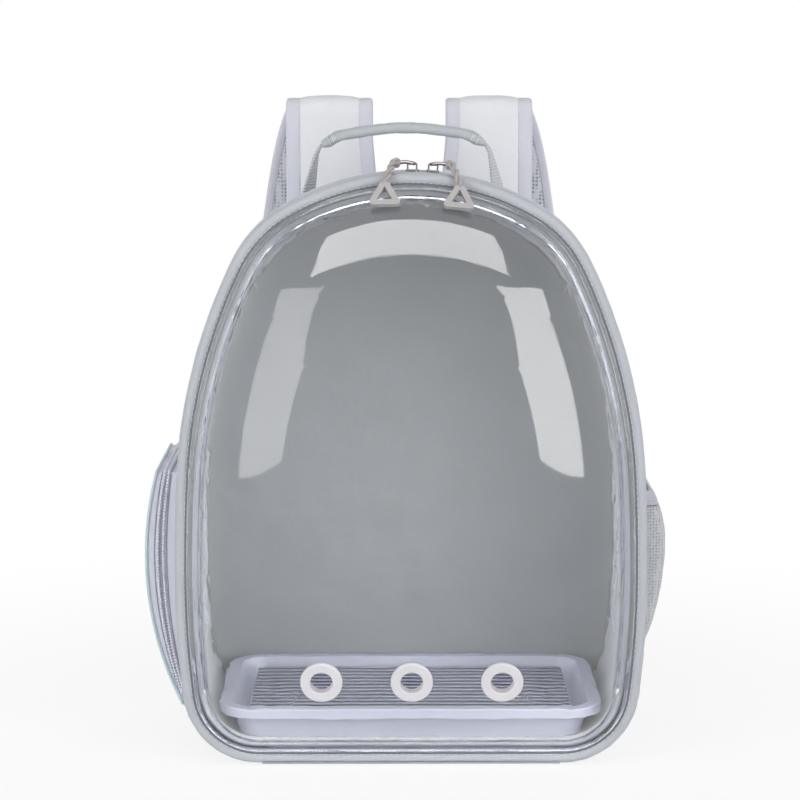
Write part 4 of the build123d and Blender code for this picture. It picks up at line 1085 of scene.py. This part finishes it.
for name, mirror in SIDES:
    top, low, hem_a, hem_b, threads = strap_body(mirror)
    face_points, ring_points = len(top[0]), len(top[0]) + len(low[0])
    o = piece(
        "strap_pad_" + name, rod([t + b for t, b in zip(top, low)]), strap_cloth, "carrier",
        ["shoulder_strap_" + name],
    )
    o.data.materials.append(strap_mesh)
    for f in o.data.polygons:
        if len(f.vertices) == 4 and min(v % ring_points for v in f.vertices) >= face_points:
            f.material_index = 1
    edges = merge(rod(hem_a), rod(hem_b))
    piece("strap_edge_" + name, edges, strap_edge, "carrier")
    piece("strap_stitches_" + name, stitches(threads), thread, "carrier")
    soften(
        "strap_web_" + name, ["strap_webbing_" + name], 0.75, webbing_z, "carrier",
        relax=1,
    )
    soften(
        "strap_anchor_" + name, ["strap_tab_" + name], 0.9, back_cloth, "carrier",
        relax=2,
    )

# ---- carry handle -------------------------------------------------------------------------------
HANDLE_Y = 10
HANDLE_TURN = 24                  # how far the webbing turns to the front at its feet
ACROSS = Vector((0, 1, 0))


def handle_line(points, radius):
    return rounded([(x, HANDLE_Y, z) for x, z in points], radius)


def strip_shape(path, width, thick, soft):
    """Flat strap along a path in an XZ plane: webbing, or the soft grip round it."""
    rows = []
    for i, p in enumerate(path):
        t = heading(path, i)
        end, turn = 1.0, 0.0
        if soft:
            end = min(1.0, from_end(path, i) / 4.0)
        else:
            turn = HANDLE_TURN * max(0.0, 1 - from_end(path, i) / 26.0)
            turn *= 1 if i < len(path) / 2 else -1
        across = (ACROSS * cosd(turn) + ACROSS.cross(t) * sind(turn)).normalized()
        h = across.cross(t).normalized()
        row = []
        for a in range(0, 360, 15):
            u = width / 2 * squared(cosd(a), 0.45)
            v = thick / 2 * squared(sind(a), 0.8 if soft else 0.5) * (0.5 + 0.5 * end)
            row.append(p + across * u + h * v)
        rows.append(row)
    return rod(rows)


def wrap(path, x, lean):
    """One turn of thread round the grip."""
    middle = min(path, key=lambda p: abs(p.x - x))
    loop = []
    for k in range(28):
        u = 12.2 * squared(cosd(360 * k / 28), 0.45)
        v = 3.9 * squared(sind(360 * k / 28), 0.8)
        loop.append(middle + Vector((v * sind(lean), u, v * cosd(lean))))
    return tube(loop, 0.36, 6, True)


handle_path = handle_line(((-74.5, 395.6), (-66, 437), (-5, 449.5), (56, 438), (64, 399.7)), 13)
web = piece(
    "handle_strap", strip_shape(handle_path, 21.5, 2.6, False), webbing_z, None,
    ["handle_webbing"],
)
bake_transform(web)
grip_points = (-63.5, 433.5), (-52, 440.5), (-5, 447.8), (42, 441.5), (53.5, 434.5)
grip_path = handle_line(grip_points, 40)
grip = piece(
    "handle_pad", strip_shape(grip_path, 24.0, 7.6, True), grip_cloth, "handle",
    ["handle_grip"],
)
rumple(grip, lambda p: 0.35 + 0.5 * clamp((abs(p.x + 5) - 38) / 12), 7)
wraps = []
for x in (-58.6, -56.4, -54.2, 44.2, 46.4, 48.6):
    wraps.append(wrap(grip_path, x, math.copysign(HANDLE_TURN, x)))
piece("handle_wraps", merge(*wraps), thread, "handle")
for name, _ in SIDES:
    soften(
        "handle_base_" + name, ["handle_patch_" + name], 0.5, tape_cloth, "carrier",
        relax=2,
    )

# ---- stage, in metres ---------------------------------------------------------------------------
SKY_LIGHT = 0.36                  # the world's strength as light; where it is seen it is 1
NEAR, FAR = 0.2, 0.75             # distances from the bag between which the floor turns white
floor_me = bpy.data.meshes.new("floor")
floor_me.from_pydata([(-6, -4, 0), (6, -4, 0), (6, 8, 0), (-6, 8, 0)], [], [(0, 1, 2, 3)])
floor = added("floor", floor_me)
white = Shader("floor_white")
white.set(Base_Color=(0.95, 0.95, 0.95, 1), Roughness=0.9)
distance = white.node("ShaderNodeVectorMath", operation="LENGTH")
white.link(white.coords, distance.inputs[0])
plain = white.ramp(distance.outputs["Value"], to=(0.8, 1.0), given=(NEAR, FAR), smooth=True)
glow = white.node("ShaderNodeEmission")
glowing = white.math("MULTIPLY", white.seen(), plain)
white.link(
    white.blend(glowing, white.bsdf.outputs[0], glow.outputs[0]), white.out.inputs["Surface"],
)
floor_me.materials.append(white.material)

world = bpy.data.worlds.new("world")
scene.world = world
world.use_nodes = True
sky = Graph(world.node_tree)
background = sky.tree.nodes["Background"]
background.inputs["Color"].default_value = (1, 1, 1, 1)
sky.link(sky.ramp(sky.seen(), to=(SKY_LIGHT, 1.0)), background.inputs["Strength"])


# ---- lamps and camera ---------------------------------------------------------------------------
def lamp(name, place, look, size, power, gleam=False):
    """Area lamp: soft light for the surfaces, or a large panel that only gloss shows."""
    light = bpy.data.lights.new(name, "AREA")
    light.shape = "RECTANGLE"
    light.size, light.size_y = size
    light.energy = power
    o = added(name, light)
    o.location = place
    o.rotation_euler = (Vector(look) - Vector(place)).to_track_quat("-Z", "Y").to_euler()
    o.visible_camera = False
    o.visible_diffuse = not gleam
    o.visible_glossy = gleam
    o.visible_transmission = gleam


# places and sizes in metres, power in watts
lamp("left_box", (-1.45, -1.45, 0.62), (0, 0, 0.22), (0.85, 1.35), 15)
lamp("right_box", (1.45, -1.45, 0.62), (0, 0, 0.22), (0.85, 1.35), 16)
lamp("top_box", (0, -0.75, 1.95), (0, 0, 0.2), (1.5, 0.9), 5.0)
lamp("back_left_box", (-1.3, 1.9, 0.9), (0, 0, 0.22), (1.0, 1.2), 11)
lamp("back_right_box", (1.3, 1.9, 0.9), (0, 0, 0.22), (1.0, 1.2), 11)
lamp("left_gleam", (-1.40, -1.60, 0.58), (0, 0, 0.24), (1.35, 1.75), 20, True)
lamp("right_gleam", (1.40, -1.60, 0.58), (0, 0, 0.24), (1.35, 1.75), 40, True)
lamp("top_gleam", (0, -0.95, 1.95), (0, 0, 0.24), (1.95, 1.35), 46, True)

DOWN, ASIDE = 0.1486, -0.0043     # radians that the camera looks down, and turns aside
view = bpy.data.cameras.new("camera")
view.sensor_width = 36
view.lens = 112.0
view.clip_end = 50
camera = added("camera", view)
camera.location = (-0.0152, -1.8008, 0.5179)
camera.rotation_euler = (math.radians(90) - DOWN, 0, ASIDE)
scene.camera = camera
scene.view_settings.view_transform = "Standard"
